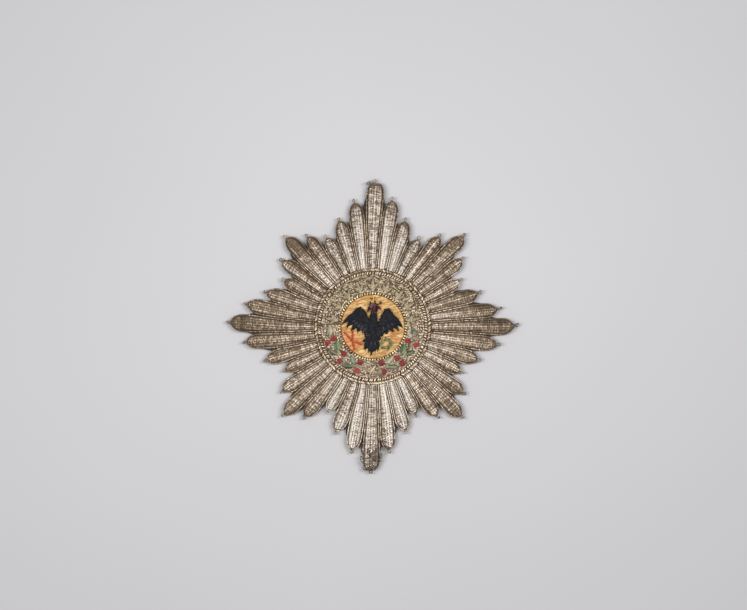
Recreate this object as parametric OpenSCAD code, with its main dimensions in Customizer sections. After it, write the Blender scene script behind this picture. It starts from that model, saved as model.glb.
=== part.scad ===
// Breast star, embroidered in metal thread and silk, lying face up.
// Millimetres. The origin is on the medallion's axis at the back face, +Z points out of the face
// and +Y to the top ray. Rays are counted clockwise from the top.

/* [Rays] */
// Reach of the four straight rays, from the centre to the end of the tip loop
reach_straight = 46; // [43:0.1:52]
// Reach of the rays beside the straight ones
reach_beside_straight = 40.6; // [38:0.1:46]
// Reach of the third rays
reach_third = 35.7; // [33:0.1:40]
// Reach of the short rays in the valleys
reach_valley = 31.8; // [30:0.1:36]
// Reach of the rays beside the diagonal ones
reach_beside_diagonal = 35.9; // [33:0.1:40]
// Reach of the four diagonal rays
reach_diagonal = 40.4; // [37:0.1:46]
// Widest that a straight ray gets
wide_straight = 5.7; // [4.5:0.1:6.4]
// Widest that any other ray gets
wide_other = 4.9; // [3.8:0.1:5.4]
// Height of the padded ridge above the backing
ridge_h = 1.9; // [1.3:0.1:3]
// Length of the rounded tip of a ray
tip_l = 4.3; // [3:0.1:6]
// Width of the beaded cord round a ray
edge_cord_d = 0.55; // [0.4:0.05:0.7]
// Gap between neighbouring rays
ray_gap = 0.12; // [0.06:0.02:0.3]

/* [Tip loops] */
// Outside diameter of the wire loop at a ray's tip
loop_d = 1.4; // [1:0.1:2]
// Diameter of the loop's wire
loop_wire_d = 0.35; // [0.2:0.05:0.45]

/* [Backing] */
// Thickness of the cloth-covered card
backing_t = 1; // [0.8:0.1:2]
// How far the backing stays inside the outline of the rays
backing_inset = 0.5; // [0.3:0.05:0.9]

/* [Medallion] */
// Radius of the silk ground
disc_r = 9.95; // [8:0.05:11]
// Height of the silk ground and of the ring above the backing
medallion_h = 1.7; // [1:0.1:2.5]
// Width of the silver band between its two borders
band_w = 5.6; // [4.8:0.1:6.5]
// Diameter of the inner beaded border
inner_border_d = 0.65; // [0.45:0.05:0.9]
// Diameter of the outer beaded border
outer_border_d = 0.8; // [0.5:0.05:1.1]
// Width of the ring's rim outside its outer border
ring_rim = 0.15; // [0.1:0.05:0.4]
// Diameter of the twisted gilt cord
gilt_cord_d = 0.85; // [0.5:0.05:1.1]

/* [Eagle] */
// Height of the eagle's wings and tail above the silk
wing_h = 0.5; // [0.3:0.05:0.8]
// Step from the wings up to the shoulders and the body
shoulder_step = 0.25; // [0.1:0.05:0.5]
// Step from the shoulders up to the breast
breast_step = 0.25; // [0.1:0.05:0.5]
// Height of the crown above the silk
crown_h = 0.4; // [0.2:0.05:0.8]
// Width of the red strokes
stroke_w = 0.5; // [0.3:0.05:0.6]
// Height of the red strokes above the silk
stroke_h = 0.35; // [0.2:0.05:0.6]
// Outside diameter of the wreath
wreath_d = 3.9; // [3:0.1:4.2]
// Thickness of the wreath's cord
wreath_cord_d = 0.8; // [0.5:0.05:1.1]

/* [Branches] */
// Length of a full leaf
leaf_l = 3.4; // [2.6:0.1:3.8]
// Width of a full leaf
leaf_w = 1.3; // [0.9:0.1:1.5]
// Height of a leaf above the ring
leaf_h = 0.4; // [0.2:0.05:0.7]
// Thickness of the stems
stem_d = 0.35; // [0.25:0.05:0.5]
// Diameter of a berry
berry_d = 1.55; // [1.1:0.05:1.7]
// Length of the tie's two bars
tie_l = 3.4; // [2.4:0.1:4]
// Thickness of the tie's bars
tie_d = 0.6; // [0.4:0.05:0.8]

/* [Ornament] */
// Number of palmettes on the upper half of the ring
palmette_count = 9; // [7:1:9]
// Length of a palmette's middle petal
palmette_l = 3.6; // [2.8:0.1:4.4]
// Width of a palmette's petals
petal_w = 1.1; // [0.8:0.05:1.25]
// Height of a palmette above the ring
palmette_h = 0.45; // [0.2:0.05:0.8]

/* [Fits] */
// Clearance between pieces that are sewn on each other
seat = 0.05; // [0.02:0.01:0.1]

/* [Hidden] */
PER_QUARTER = 10;
RAYS = 4 * PER_QUARTER;
RAY_STEP = 360 / RAYS;

// Columns: reach, widest, then for the top right, bottom right, bottom left and top left quarter
// the share of the reach that was worked, and the lean of the tip in degrees clockwise.
RAY_TABLE = [
    [reach_straight, wide_straight, [1, 0.993, 1, 0.993], [0.7, -0.6, 0.7, 1.8]],
    [reach_beside_straight, wide_other, [1.007, 0.994, 0.991, 1.01], [-0.4, -1, 0.5, 1.2]],
    [reach_third, wide_other, [0.996, 0.996, 1, 1.007], [-1, -0.7, 1.1, -0.2]],
    [reach_valley, wide_other, [1, 1.006, 0.975, 1.015], [0.5, 0.2, 0.8, 0.6]],
    [reach_beside_diagonal, wide_other, [1.002, 1.005, 1.011, 1.004], [0.3, 0.2, 1.1, -0.1]],
    [reach_diagonal, wide_other, [1.015, 1.002, 0.99, 0.985], [-0.1, 0.4, 0.2, 0.6]],
    [reach_beside_diagonal, wide_other, [1, 0.986, 0.992, 0.994], [-1.2, 0.2, 0.5, -0.1]],
    [reach_valley, wide_other, [1, 0.994, 0.994, 1.017], [-1.1, 1.1, 0.5, -0.9]],
    [reach_third, wide_other, [1.005, 0.986, 1.005, 1], [0.2, 0.5, 0.5, 0.3]],
    [reach_beside_straight, wide_other, [1.004, 0.985, 1.01, 0.991], [0.8, 1.4, 2, 0.4]]
];

// How far a ray's body is turned clockwise of its loop. Columns: bearing, degrees at the tip.
BODY_TURN = [
    [0, 0.5], [27, 0.5], [54, 0.35], [90, 0.5], [126, 0.2], [153, 0], [252, 0], [279, -0.2],
    [306, 0.2], [324, 0.4], [360, 0.5]
];

// Columns: share of the way from the root to the tip's start, share of the ridge height.
RAY_BODY = [
    [0, 0.62],
    [0.1, 0.76],
    [0.35, 0.9],
    [0.7, 1]
];

// Columns: share of the tip's length, share of the width, share of the ridge height.
RAY_TIP = [
    [0, 1, 1],
    [0.38, 0.95, 0.93],
    [0.7, 0.76, 0.74],
    [0.9, 0.5, 0.48],
    [1, 0.22, 0.26]
];
// The rays that end in a blunt nose, those that end in a sharp one, how much sharper, and the least
// share of the width that is left at the end.
BLUNT = [0, 20];
SHARP = [8, 9, 10];
SHARPER = 1.7;
SHARP_LEAST = 0.13;

// Half of a ray's cross-section from its foot to its ridge. Columns: share of the edge cord's width
// in from the edge, share of the padding's half width in from there, share of the cord's height,
// share of the rise from the groove to the ridge.
RAY_CROSS = [
    [0, 0, 0, 0],
    [0, 0, 0.6, 0],
    [0.5, 0, 1, 0],
    [1, 0, 0.55, 0],
    [1, 0.16, 0.55, 0.55],
    [1, 0.52, 0.55, 0.9],
    [1, 1, 0.55, 1]
];
CROSS_LAST = len(RAY_CROSS) - 1;
CROSS_POINTS = 2 * CROSS_LAST + 1;

// Radii and heights of the stack, from the middle outwards and from the back up.
inner_border_r = disc_r + seat + inner_border_d / 2;
band_r = inner_border_r + inner_border_d / 2;
outer_border_r = band_r + band_w + outer_border_d / 2;
ring_r = outer_border_r + outer_border_d / 2 + ring_rim;
gilt_cord_r = ring_r + seat + gilt_cord_d / 2;
root_r = gilt_cord_r + gilt_cord_d / 2 + ray_gap;
sewn_z = backing_t + seat;
face_z = sewn_z + medallion_h;
work_z = face_z + seat;

function mix(a, b, t) = a + (b - a) * t;
function clamp01(t) = max(0, min(1, t));
function eased(t) = t * t * (3 - 2 * t);
// A place on the face from a bearing clockwise from the top and a distance from the centre.
function at_bearing(bearing, r) = [r * sin(bearing), r * cos(bearing)];

function wrapped(n) = (n + RAYS) % RAYS;
function ray_row(n) = RAY_TABLE[wrapped(n) % PER_QUARTER];
function quarter(n) = floor(wrapped(n) / PER_QUARTER);
function ray_reach(n) = ray_row(n)[0] * ray_row(n)[2][quarter(n)];
function ray_lean(n) = ray_row(n)[3][quarter(n)];
function ray_end(n) = ray_reach(n) - loop_d - ray_gap;
function tip_start(n) = ray_end(n) - tip_l;
function loop_bearing(n) = n * RAY_STEP + ray_lean(n);
function body_turn(n) = lookup(wrapped(n) * RAY_STEP, BODY_TURN);
function ray_bearing(n, r) =
    n * RAY_STEP
    + (ray_lean(n) + body_turn(n)) * eased(clamp01((r - root_r) / (ray_reach(n) - root_r)));
// Half width of ray n at radius r, on the side of its neighbour m.
function ray_half(n, m, r) =
    let (to_neighbour = abs(ray_bearing(m, r) - ray_bearing(n, r)))
    min(r * tan(to_neighbour / 2) - ray_gap / 2, ray_row(n)[1] / 2);
function tip_width(n, share) =
    len(search(n, BLUNT)) > 0 ? sqrt(share)
    : len(search(n, SHARP)) > 0 ? max(pow(share, SHARPER), SHARP_LEAST)
    : share;
function ray_sections(n) = concat(
    [for (row = RAY_BODY) [mix(root_r, tip_start(n), row[0]), 1, row[1]]],
    [for (row = RAY_TIP) [tip_start(n) + tip_l * row[0], tip_width(n, row[1]), row[2]]]
);
function edge_w(half) = min(edge_cord_d, 0.85 * half);
function cross_place(half, row) =
    half - edge_w(half) * row[0] - (half - edge_w(half)) * row[1];
function cross_height(row, rise) =
    edge_cord_d * row[2] + row[3] * max(rise - 0.55 * edge_cord_d, 0);
function section_point(n, section, side, row) =
    let (
        r = section[0],
        half = section[1] * ray_half(n, n + side, r),
        across = side * cross_place(half, row),
        bearing = ray_bearing(n, r),
        middle = at_bearing(bearing, r)
    )
    [
        middle[0] + across * cos(bearing),
        middle[1] - across * sin(bearing),
        sewn_z + cross_height(row, section[2] * ridge_h)
    ];
function section_ring(n, section) = concat(
    [for (i = [0 : CROSS_LAST]) section_point(n, section, -1, RAY_CROSS[i])],
    [for (i = [CROSS_LAST - 1 : -1 : 0]) section_point(n, section, 1, RAY_CROSS[i])]
);
function loft_faces(rings, points) = concat(
    [[for (i = [points - 1 : -1 : 0]) i]],
    [for (s = [0 : rings - 2]) for (i = [0 : points - 1])
        [
            s * points + i,
            s * points + (i + 1) % points,
            (s + 1) * points + (i + 1) % points,
            (s + 1) * points + i
        ]
    ],
    [[for (i = [0 : points - 1]) (rings - 1) * points + i]]
);

module ray(n) {
    sections = ray_sections(n);
    color("#a79a84")
        polyhedron(
            points = [for (section = sections) each section_ring(n, section)],
            faces = loft_faces(len(sections), CROSS_POINTS),
            convexity = 4
        );
}

module tip_loops() {
    wire_r = loop_wire_d / 2;
    color("#8d7f62")
        for (n = [0 : RAYS - 1])
            let (place = at_bearing(loop_bearing(n), ray_reach(n) - loop_d / 2))
            translate([place[0], place[1], sewn_z + edge_cord_d / 2])
                rotate_extrude($fn = 24)
                    translate([loop_d / 2 - wire_r, 0])
                        circle(r = wire_r, $fn = 16);
}

// How far the backing's notches lie behind the end of the shorter ray beside them, in tip lengths.
NOTCH_BACK = 0.15;
// Notches where the cloth comes out further between the tips. Columns: number of the ray that
// follows the notch clockwise, the same measure.
POCKETS = [[0, -0.2], [1, -0.2], [19, 0], [20, -0.2], [21, -0.2], [22, 0], [24, -0.5], [25, -0.15]];
// Share of the tip's length and of the ray's width at a shoulder and at the end.
BACKING_SHOULDER = [0.45, 0.93];
BACKING_END = [1, 0.4];
// Half of the least width that the backing keeps.
LEAST_HALF = 0.1;

// The backing follows the rays: a notch beside each ray, then its shoulders and its end.
function notch_back(n) =
    let (found = search(n, POCKETS))
    len(found) > 0 ? POCKETS[found[0]][1] : NOTCH_BACK;
function backing_notch(n) =
    let (
        r = min(ray_end(n - 1), ray_end(n)) - notch_back(n) * tip_l,
        bearing = (ray_bearing(n - 1, r) + ray_bearing(n, r)) / 2
    )
    at_bearing(bearing, r);
function backing_point(n, side, row) =
    let (
        r = tip_start(n) + row[0] * tip_l - backing_inset,
        across = side * max(row[1] * ray_half(n, n + side, r) - backing_inset, LEAST_HALF),
        bearing = ray_bearing(n, r),
        middle = at_bearing(bearing, r)
    )
    [middle[0] + across * cos(bearing), middle[1] - across * sin(bearing)];
function backing_outline() = [
    for (n = [0 : RAYS - 1]) each [
        backing_notch(n),
        backing_point(n, -1, BACKING_SHOULDER),
        backing_point(n, -1, BACKING_END),
        backing_point(n, 1, BACKING_END),
        backing_point(n, 1, BACKING_SHOULDER)
    ]
];

module backing() {
    color("#2e2822")
        linear_extrude(backing_t)
            polygon(backing_outline());
}

// Rounding of the silk ground's edge, as a share of its height.
EDGE_ROUND = 0.3;

module medallion_ground() {
    round_r = EDGE_ROUND * medallion_h;
    color("#e3b765")
        translate([0, 0, sewn_z])
            rotate_extrude($fn = 96) {
                square([disc_r, medallion_h - round_r]);
                square([disc_r - round_r, medallion_h]);
                translate([disc_r - round_r, medallion_h - round_r])
                    circle(r = round_r, $fn = 32);
            }
}

// A round cord laid in a circle, resting with its underside at the height given.
module laid_cord(r, d, underside) {
    translate([0, 0, underside + d / 2])
        rotate_extrude($fn = 96)
            translate([r, 0])
                circle(d = d, $fn = 24);
}

module inner_border() {
    color("#b3a487") laid_cord(inner_border_r, inner_border_d, work_z);
}

module outer_border() {
    color("#b3a487") laid_cord(outer_border_r, outer_border_d, work_z);
}

// Share of the gilt cord's thickness that lies below the face.
GILT_SUNK = 0.6;

module gilt_cord() {
    color("#b08d62") laid_cord(gilt_cord_r, gilt_cord_d, face_z - GILT_SUNK * gilt_cord_d);
}

module ring_ground() {
    color("#9c8f7b")
        translate([0, 0, sewn_z])
            rotate_extrude($fn = 96)
                translate([disc_r + seat, 0])
                    square([ring_r - disc_r - seat, medallion_h]);
}

// The eagle is drawn in shares of the silk ground's radius, x to the right and y up.
// Columns of a feather: root x, root y, tip x, tip y, width.
LEFT_FEATHERS = [
    [-0.42, 0.5, -0.93, 0.11, 0.17],
    [-0.4, 0.4, -0.82, 0.0, 0.17],
    [-0.32, 0.34, -0.66, -0.11, 0.18],
    [-0.26, 0.3, -0.48, -0.17, 0.18],
    [-0.18, 0.26, -0.31, -0.2, 0.18],
    [-0.12, 0.1, -0.24, -0.3, 0.16]
];
RIGHT_FEATHERS = [
    [0.5, 0.45, 0.93, -0.03, 0.17],
    [0.46, 0.34, 0.8, -0.11, 0.17],
    [0.4, 0.28, 0.64, -0.18, 0.18],
    [0.32, 0.22, 0.46, -0.24, 0.18],
    [0.22, 0.16, 0.3, -0.31, 0.18],
    [0.14, 0.0, 0.2, -0.38, 0.16]
];
TAIL_FEATHERS = [
    [-0.06, -0.3, -0.26, -0.7, 0.17],
    [-0.04, -0.3, -0.13, -0.76, 0.16],
    [0, -0.3, -0.04, -0.87, 0.16],
    [0.03, -0.3, 0.08, -0.76, 0.16],
    [0.05, -0.3, 0.18, -0.7, 0.17]
];
LEFT_SHOULDER = [
    [-0.1, 0.1], [-0.16, 0.3], [-0.22, 0.4], [-0.3, 0.52], [-0.41, 0.61], [-0.52, 0.57],
    [-0.62, 0.44], [-0.74, 0.27], [-0.6, 0.24], [-0.4, 0.14]
];
RIGHT_SHOULDER = [
    [0.14, 0.0], [0.22, 0.22], [0.28, 0.36], [0.38, 0.5], [0.51, 0.57], [0.6, 0.47],
    [0.68, 0.32], [0.78, 0.17], [0.64, 0.16], [0.42, 0.04]
];
BODY_OUTLINE = [
    [-0.03, 0.52], [-0.1, 0.3], [-0.15, 0.1], [-0.14, -0.15], [-0.1, -0.36], [0, -0.5],
    [0.1, -0.36], [0.16, -0.12], [0.17, 0.08], [0.13, 0.3], [0.12, 0.5]
];
HEAD_OUTLINE = [
    [-0.03, 0.5], [-0.07, 0.57], [-0.14, 0.47], [-0.17, 0.53], [-0.13, 0.64], [-0.05, 0.71],
    [0.04, 0.745], [0.12, 0.71], [0.14, 0.62], [0.24, 0.56], [0.15, 0.55], [0.12, 0.46]
];
LEFT_LEG = [
    [-0.06, -0.2], [-0.2, -0.3], [-0.25, -0.4], [-0.33, -0.43], [-0.24, -0.46], [-0.17, -0.42],
    [-0.06, -0.32]
];
RIGHT_LEG = [
    [0.08, -0.2], [0.2, -0.29], [0.27, -0.36], [0.21, -0.4], [0.08, -0.32]
];
BREAST_OUTLINE = [
    [0.02, 0.36], [-0.06, 0.26], [-0.09, 0.08], [-0.07, -0.12], [0.01, -0.3], [0.1, -0.1],
    [0.12, 0.08], [0.1, 0.26]
];

// A pointed petal between two points: the part that two circles share.
module petal(from, to, width) {
    length = norm(to - from);
    round_r = (length * length + width * width) / (4 * width);
    turn = atan2(to[1] - from[1], to[0] - from[0]);
    translate((from + to) / 2)
        rotate(turn)
            intersection() {
                translate([0, round_r - width / 2]) circle(r = round_r, $fn = 96);
                translate([0, width / 2 - round_r]) circle(r = round_r, $fn = 96);
            }
}

module feathers(rows) {
    for (row = rows)
        petal(disc_r * [row[0], row[1]], disc_r * [row[2], row[3]], disc_r * row[4]);
}

module eagle() {
    shoulder_h = wing_h + shoulder_step;
    color("#15151c")
        translate([0, 0, work_z]) {
            linear_extrude(wing_h) {
                feathers(LEFT_FEATHERS);
                feathers(RIGHT_FEATHERS);
                feathers(TAIL_FEATHERS);
                polygon(disc_r * LEFT_LEG);
                polygon(disc_r * RIGHT_LEG);
            }
            linear_extrude(shoulder_h) {
                polygon(disc_r * LEFT_SHOULDER);
                polygon(disc_r * RIGHT_SHOULDER);
                polygon(disc_r * BODY_OUTLINE);
                polygon(disc_r * HEAD_OUTLINE);
            }
            linear_extrude(shoulder_h + breast_step)
                polygon(disc_r * BREAST_OUTLINE);
        }
}

CROWN_OUTLINE = [
    [-0.1, 0.75], [-0.13, 0.86], [-0.06, 0.82], [0.0, 0.9], [0.06, 0.84], [0.14, 0.88],
    [0.16, 0.77], [0.27, 0.74], [0.25, 0.7], [0.15, 0.735], [0.04, 0.775]
];

module crown() {
    color("#8f6a2a")
        translate([0, 0, work_z])
            linear_extrude(crown_h)
                polygon(disc_r * CROWN_OUTLINE);
}

// Columns of a red stroke: start x, start y, end x, end y, in shares of the silk ground's radius.
RED_STROKES = [
    [-0.9, -0.17, -0.64, -0.44],
    [-0.63, -0.12, -0.63, -0.46],
    [-0.64, -0.4, -0.57, -0.74],
    [-0.54, -0.48, -0.35, -0.58],
    [-0.42, -0.5, -0.35, -0.58]
];

// A straight bar with round ends.
module bar(from, to, width) {
    length = norm(to - from);
    turn = atan2(to[1] - from[1], to[0] - from[0]);
    translate(from)
        rotate(turn) {
            translate([0, -width / 2]) square([length, width]);
            circle(d = width, $fn = 24);
            translate([length, 0]) circle(d = width, $fn = 24);
        }
}

module lightning() {
    color("#b0452c")
        translate([0, 0, work_z])
            linear_extrude(stroke_h)
                for (row = RED_STROKES)
                    bar(disc_r * [row[0], row[1]], disc_r * [row[2], row[3]], stroke_w);
}

WREATH_PLACE = [0.42, -0.54];

module wreath() {
    color("#7c8a5c")
        translate(disc_r * WREATH_PLACE)
            laid_cord((wreath_d - wreath_cord_d) / 2, wreath_cord_d, work_z);
}

// Columns of a leaf: bearing and place across the band (0 inner border, 1 outer border) of its
// middle, turn of its tip from the way out in degrees clockwise, share of a full leaf's length.
RIGHT_LEAVES = [
    [98, 0.42, -63, 0.62],
    [125.5, 0.62, -60, 0.92],
    [127, 0.22, -108, 1.02],
    [153.5, 0.6, -63, 1.15],
    [152.5, 0.16, -106, 0.9]
];
LEFT_LEAVES = [
    [211.5, 0.68, 60, 1.2],
    [211.5, 0.26, 128, 0.8],
    [236.5, 0.72, 59, 0.95],
    [242, 0.32, 112, 1],
    [264, 0.48, 90, 0.85]
];
// Columns of a berry: bearing and place across the band.
BERRIES = [
    [112.8, 0.7], [111.9, 0.22], [140.9, 0.7], [142.8, 0.29], [165.9, 0.7], [167, 0.2],
    [200, 0.7], [200, 0.21], [223.8, 0.73], [226.6, 0.29], [250.6, 0.75], [252.8, 0.36]
];
STEM_PLACE = 0.5;
STEM_ENDS = [104, 246];
STEMS_MEET = 180;
TIE_TURN = 35;

stem_r = band_r + STEM_PLACE * band_w;
tie_clear = tie_d / 2 / cos(TIE_TURN) + stem_d / 2 * tan(TIE_TURN) + 2 * seat;
stem_start = atan(tie_clear / stem_r);

function band_place(bearing, place) = at_bearing(bearing, band_r + place * band_w);

module leaf(row) {
    middle = band_place(row[0], row[1]);
    out = at_bearing(row[0] + row[2], leaf_l * row[3] / 2);
    petal(middle - out, middle + out, leaf_w);
}

// A stem laid along the middle of the band between two bearings.
module stem(from, to) {
    translate([0, 0, work_z + stem_d / 2])
        rotate(90 - to)
            rotate_extrude(angle = to - from, $fn = 96)
                translate([stem_r, 0])
                    circle(d = stem_d, $fn = 16);
}

module branch(leaves, from, to) {
    stem(from, to);
    translate([0, 0, work_z])
        linear_extrude(leaf_h)
            for (row = leaves)
                leaf(row);
}

module branch_right() {
    color("#5f7f62") branch(RIGHT_LEAVES, STEM_ENDS[0], STEMS_MEET - stem_start);
}

module branch_left() {
    color("#5f7f62") branch(LEFT_LEAVES, STEMS_MEET + stem_start, STEM_ENDS[1]);
}

module berries() {
    color("#98323a")
        for (row = BERRIES)
            let (place = band_place(row[0], row[1]))
            translate([place[0], place[1], work_z])
                intersection() {
                    translate([0, 0, berry_d / 4])
                        sphere(d = berry_d, $fn = 32);
                    translate([-berry_d, -berry_d, 0])
                        cube(2 * berry_d);
                }
}

module branch_tie() {
    middle = band_place(STEMS_MEET, STEM_PLACE);
    color("#9b7b48")
        translate([0, 0, work_z])
            linear_extrude(tie_d)
                for (side = [-1, 1])
                    let (half = at_bearing(side * TIE_TURN, tie_l / 2))
                    bar(middle - half, middle + half, tie_d);
}

PALMETTE_SPREAD = 80;
PALMETTE_ROOT = 0.14;
SIDE_PETAL = 0.68;
SIDE_TURN = 36;

module palmette(bearing) {
    root = band_place(bearing, PALMETTE_ROOT);
    petal(root, root + at_bearing(bearing, palmette_l), petal_w);
    for (side = [-1, 1])
        petal(root, root + at_bearing(bearing + side * SIDE_TURN, SIDE_PETAL * palmette_l), petal_w);
    translate(root) circle(d = petal_w, $fn = 32);
}

module palmettes() {
    color("#a08c56")
        translate([0, 0, work_z])
            linear_extrude(palmette_h)
                for (i = [0 : palmette_count - 1])
                    palmette(mix(-PALMETTE_SPREAD, PALMETTE_SPREAD, i / (palmette_count - 1)));
}

function ray_name(n) = str("ray_", n < 10 ? "0" : "", n);

backing();
for (n = [0 : RAYS - 1]) ray(n);
tip_loops();
medallion_ground();
inner_border();
ring_ground();
outer_border();
gilt_cord();
eagle();
crown();
lightning();
wreath();
branch_left();
branch_right();
berries();
branch_tie();
palmettes();
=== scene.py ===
# %% [markdown]
# # A breast star worked in metal thread and silk
# The star is a piece of raised embroidery. Forty padded rays are covered with silver thread that is
# laid across them, and each is edged with a beaded cord. A round medallion sits in the middle. The
# solid forms are packed in a frame, which is loaded first. The embroidery could be drawn from
# measurements alone, but read from the frame it still fits when a size of the model changes.

# %% Load the frame
import math

import bpy
import numpy as np
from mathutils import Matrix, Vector
from mathutils.bvhtree import BVHTree


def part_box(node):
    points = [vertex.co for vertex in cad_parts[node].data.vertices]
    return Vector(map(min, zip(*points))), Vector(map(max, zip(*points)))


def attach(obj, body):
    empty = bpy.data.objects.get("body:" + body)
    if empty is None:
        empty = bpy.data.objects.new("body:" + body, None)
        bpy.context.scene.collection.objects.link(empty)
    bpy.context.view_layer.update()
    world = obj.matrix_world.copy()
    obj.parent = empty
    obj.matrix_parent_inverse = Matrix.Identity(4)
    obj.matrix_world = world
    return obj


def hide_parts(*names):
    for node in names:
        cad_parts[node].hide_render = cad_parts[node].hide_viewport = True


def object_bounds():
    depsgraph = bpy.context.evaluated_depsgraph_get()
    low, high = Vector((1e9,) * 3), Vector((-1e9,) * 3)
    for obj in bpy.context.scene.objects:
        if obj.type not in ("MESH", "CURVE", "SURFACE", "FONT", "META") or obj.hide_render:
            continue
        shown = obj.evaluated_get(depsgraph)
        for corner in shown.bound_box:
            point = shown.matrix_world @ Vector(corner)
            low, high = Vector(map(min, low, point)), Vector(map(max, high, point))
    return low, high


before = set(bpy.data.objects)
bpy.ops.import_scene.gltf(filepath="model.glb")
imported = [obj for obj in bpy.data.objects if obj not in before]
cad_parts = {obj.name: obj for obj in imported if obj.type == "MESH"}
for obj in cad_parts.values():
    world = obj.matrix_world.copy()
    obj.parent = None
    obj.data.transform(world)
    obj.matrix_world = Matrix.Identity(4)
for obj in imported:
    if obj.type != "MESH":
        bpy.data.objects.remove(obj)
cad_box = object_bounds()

MM = 0.001
print("CAD box in mm:", [[round(v / MM, 2) for v in corner] for corner in cad_box])

# %% [markdown]
# ## Camera
# The star lies face up and is seen from straight above through a long lens. A camera could be aimed
# by eye. Here one pixel of the picture covers 0.311 mm, so the lens follows from that and from the
# camera's height of one metre. The star lies a little below the middle of the frame.

# %% Camera
FRAME_WIDE, FRAME_HIGH = 747, 610
PIXEL = 0.3108 * MM
STAR_PIXEL = (372.7, 326.6)
CAMERA_UP = 1.0
SENSOR = 36.0


def make_camera():
    data = bpy.data.cameras.new("camera")
    data.sensor_fit = "HORIZONTAL"
    data.sensor_width = SENSOR
    face_height = cad_box[1][2]
    data.lens = SENSOR * (CAMERA_UP - face_height) / (FRAME_WIDE * PIXEL)
    data.clip_start = 0.01
    camera = bpy.data.objects.new("camera", data)
    bpy.context.collection.objects.link(camera)
    camera.location = (
        (FRAME_WIDE / 2 - STAR_PIXEL[0]) * PIXEL,
        (STAR_PIXEL[1] - FRAME_HIGH / 2) * PIXEL,
        CAMERA_UP,
    )
    bpy.context.scene.camera = camera
    return camera


camera = make_camera()
print("lens", round(camera.data.lens, 1), "mm")

# %% [markdown]
# ## Light
# A lamp right over the star would make every thread glint alike. Two long soft lights hang left and
# right of it instead. Rays that point up and down have their threads lying across, so every padding
# string in them glints, while rays that point sideways glint along the ridge alone. A pale sky
# fills the shadows.

# %% Light
# Columns: place in metres, length and width in metres, power in watts.
LIGHTS = {
    "light_left": ((-0.5, 0.02, 0.72), (0.5, 0.24), 5.8),
    "light_right": ((0.5, 0.14, 0.72), (0.5, 0.24), 5.6),
}
SKY = (0.9, 0.92, 0.96, 1)
SKY_STRENGTH = 0.4


def add_light(name, place, size, power):
    data = bpy.data.lights.new(name, "AREA")
    data.shape = "RECTANGLE"
    data.size, data.size_y = size
    data.energy = power
    light = bpy.data.objects.new(name, data)
    bpy.context.collection.objects.link(light)
    light.location = place
    light.rotation_euler = (0, math.atan2(place[0], place[2]), 0)


def add_sky():
    world = bpy.data.worlds.new("sky")
    bpy.context.scene.world = world
    world.use_nodes = True
    background = world.node_tree.nodes["Background"]
    background.inputs["Color"].default_value = SKY
    background.inputs["Strength"].default_value = SKY_STRENGTH


for light_name, row in LIGHTS.items():
    add_light(light_name, *row)
add_sky()
bpy.context.scene.view_settings.view_transform = "Standard"
print(len(LIGHTS), "soft lights and a sky")

# %% [markdown]
# ## Helpers for nodes
# A material is a small graph of nodes, and it could be wired by hand in the shader editor. The same
# few moves come back in every graph of this star, so each is a function: add a node and feed its
# inputs, reckon with two values, bring a value into limits, or blend two colours.

# %% Helpers for nodes
def feed(tree, socket, value):
    """Links an input to a socket, or sets it to a plain value."""
    if isinstance(value, bpy.types.NodeSocket):
        tree.links.new(value, socket)
    else:
        socket.default_value = value


def node(tree, kind, **inputs):
    """Adds a node and feeds its inputs, which are named, or numbered as in _0."""
    made = tree.nodes.new(kind)
    for name, value in inputs.items():
        feed(tree, made.inputs[int(name[1:]) if name[0] == "_" else name], value)
    return made


def math_node(tree, operation, first, second=0.0):
    made = node(tree, "ShaderNodeMath", _0=first, _1=second)
    made.operation = operation
    return made.outputs[0]


def spread(tree, value, low, high, to_low=0.0, to_high=1.0):
    """Maps a value between low and high onto to_low and to_high, without passing them."""
    made = node(tree, "ShaderNodeMapRange", _0=value, _1=low, _2=high, _3=to_low, _4=to_high)
    return made.outputs[0]


def blend_color(tree, factor, first, second):
    made = tree.nodes.new("ShaderNodeMix")
    made.data_type = "RGBA"
    for index, value in ((0, factor), (6, first), (7, second)):
        feed(tree, made.inputs[index], value)
    return made.outputs[2]


print("node helpers are ready")

# %% [markdown]
# ## Helpers for materials
# A finish has to know where it is on a piece. Texture coordinates could be unwrapped for every
# thread, but there are far too many. So the plain finishes read the place in space, and threads
# read marks that are kept on their vertices, such as how tarnished they are. Bumps go through the
# shader's normal, which is enough for a grain far finer than a thread.

# %% Helpers for materials
def mark(tree, name):
    """The value that a piece's vertices carry under this name."""
    made = tree.nodes.new("ShaderNodeAttribute")
    made.attribute_name = name
    return made.outputs["Fac"]


def object_place(tree):
    return tree.nodes.new("ShaderNodeTexCoord").outputs["Object"]


def noise(tree, scale, detail):
    made = node(tree, "ShaderNodeTexNoise", Vector=object_place(tree), Scale=scale, Detail=detail)
    return made.outputs[0]


def new_material(name):
    material = bpy.data.materials.new(name)
    material.use_nodes = True
    tree = material.node_tree
    return material, tree, tree.nodes["Principled BSDF"]


def raise_bumps(tree, shader, height, strength, distance):
    """Bumps on the surface; distance is their height in mm."""
    bump = node(tree, "ShaderNodeBump", Height=height, Strength=strength, Distance=distance * MM)
    tree.links.new(bump.outputs[0], shader.inputs["Normal"])


print("material helpers are ready")

# %% [markdown]
# ## The paper under the star
# The star lies on a sheet of pale paper, whose colour carries a painted falloff of light: it is
# lighter near the star and darker towards its edges. A photographer's sweep that curves up behind
# would do too, but from straight above a flat sheet looks the same. The painted darkening follows
# the distance from the star, with soft clouds in it, and a fine grain breaks it.

# %% The paper under the star
FLOOR_SIZE = 6.0
PAPER = (0.453, 0.443, 0.448, 1)
# Colour of the paper where the painted falloff of light is full.
PAPER_FALLOFF_SHADE = tuple(0.8 * part for part in PAPER[:3]) + (1,)
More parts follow.
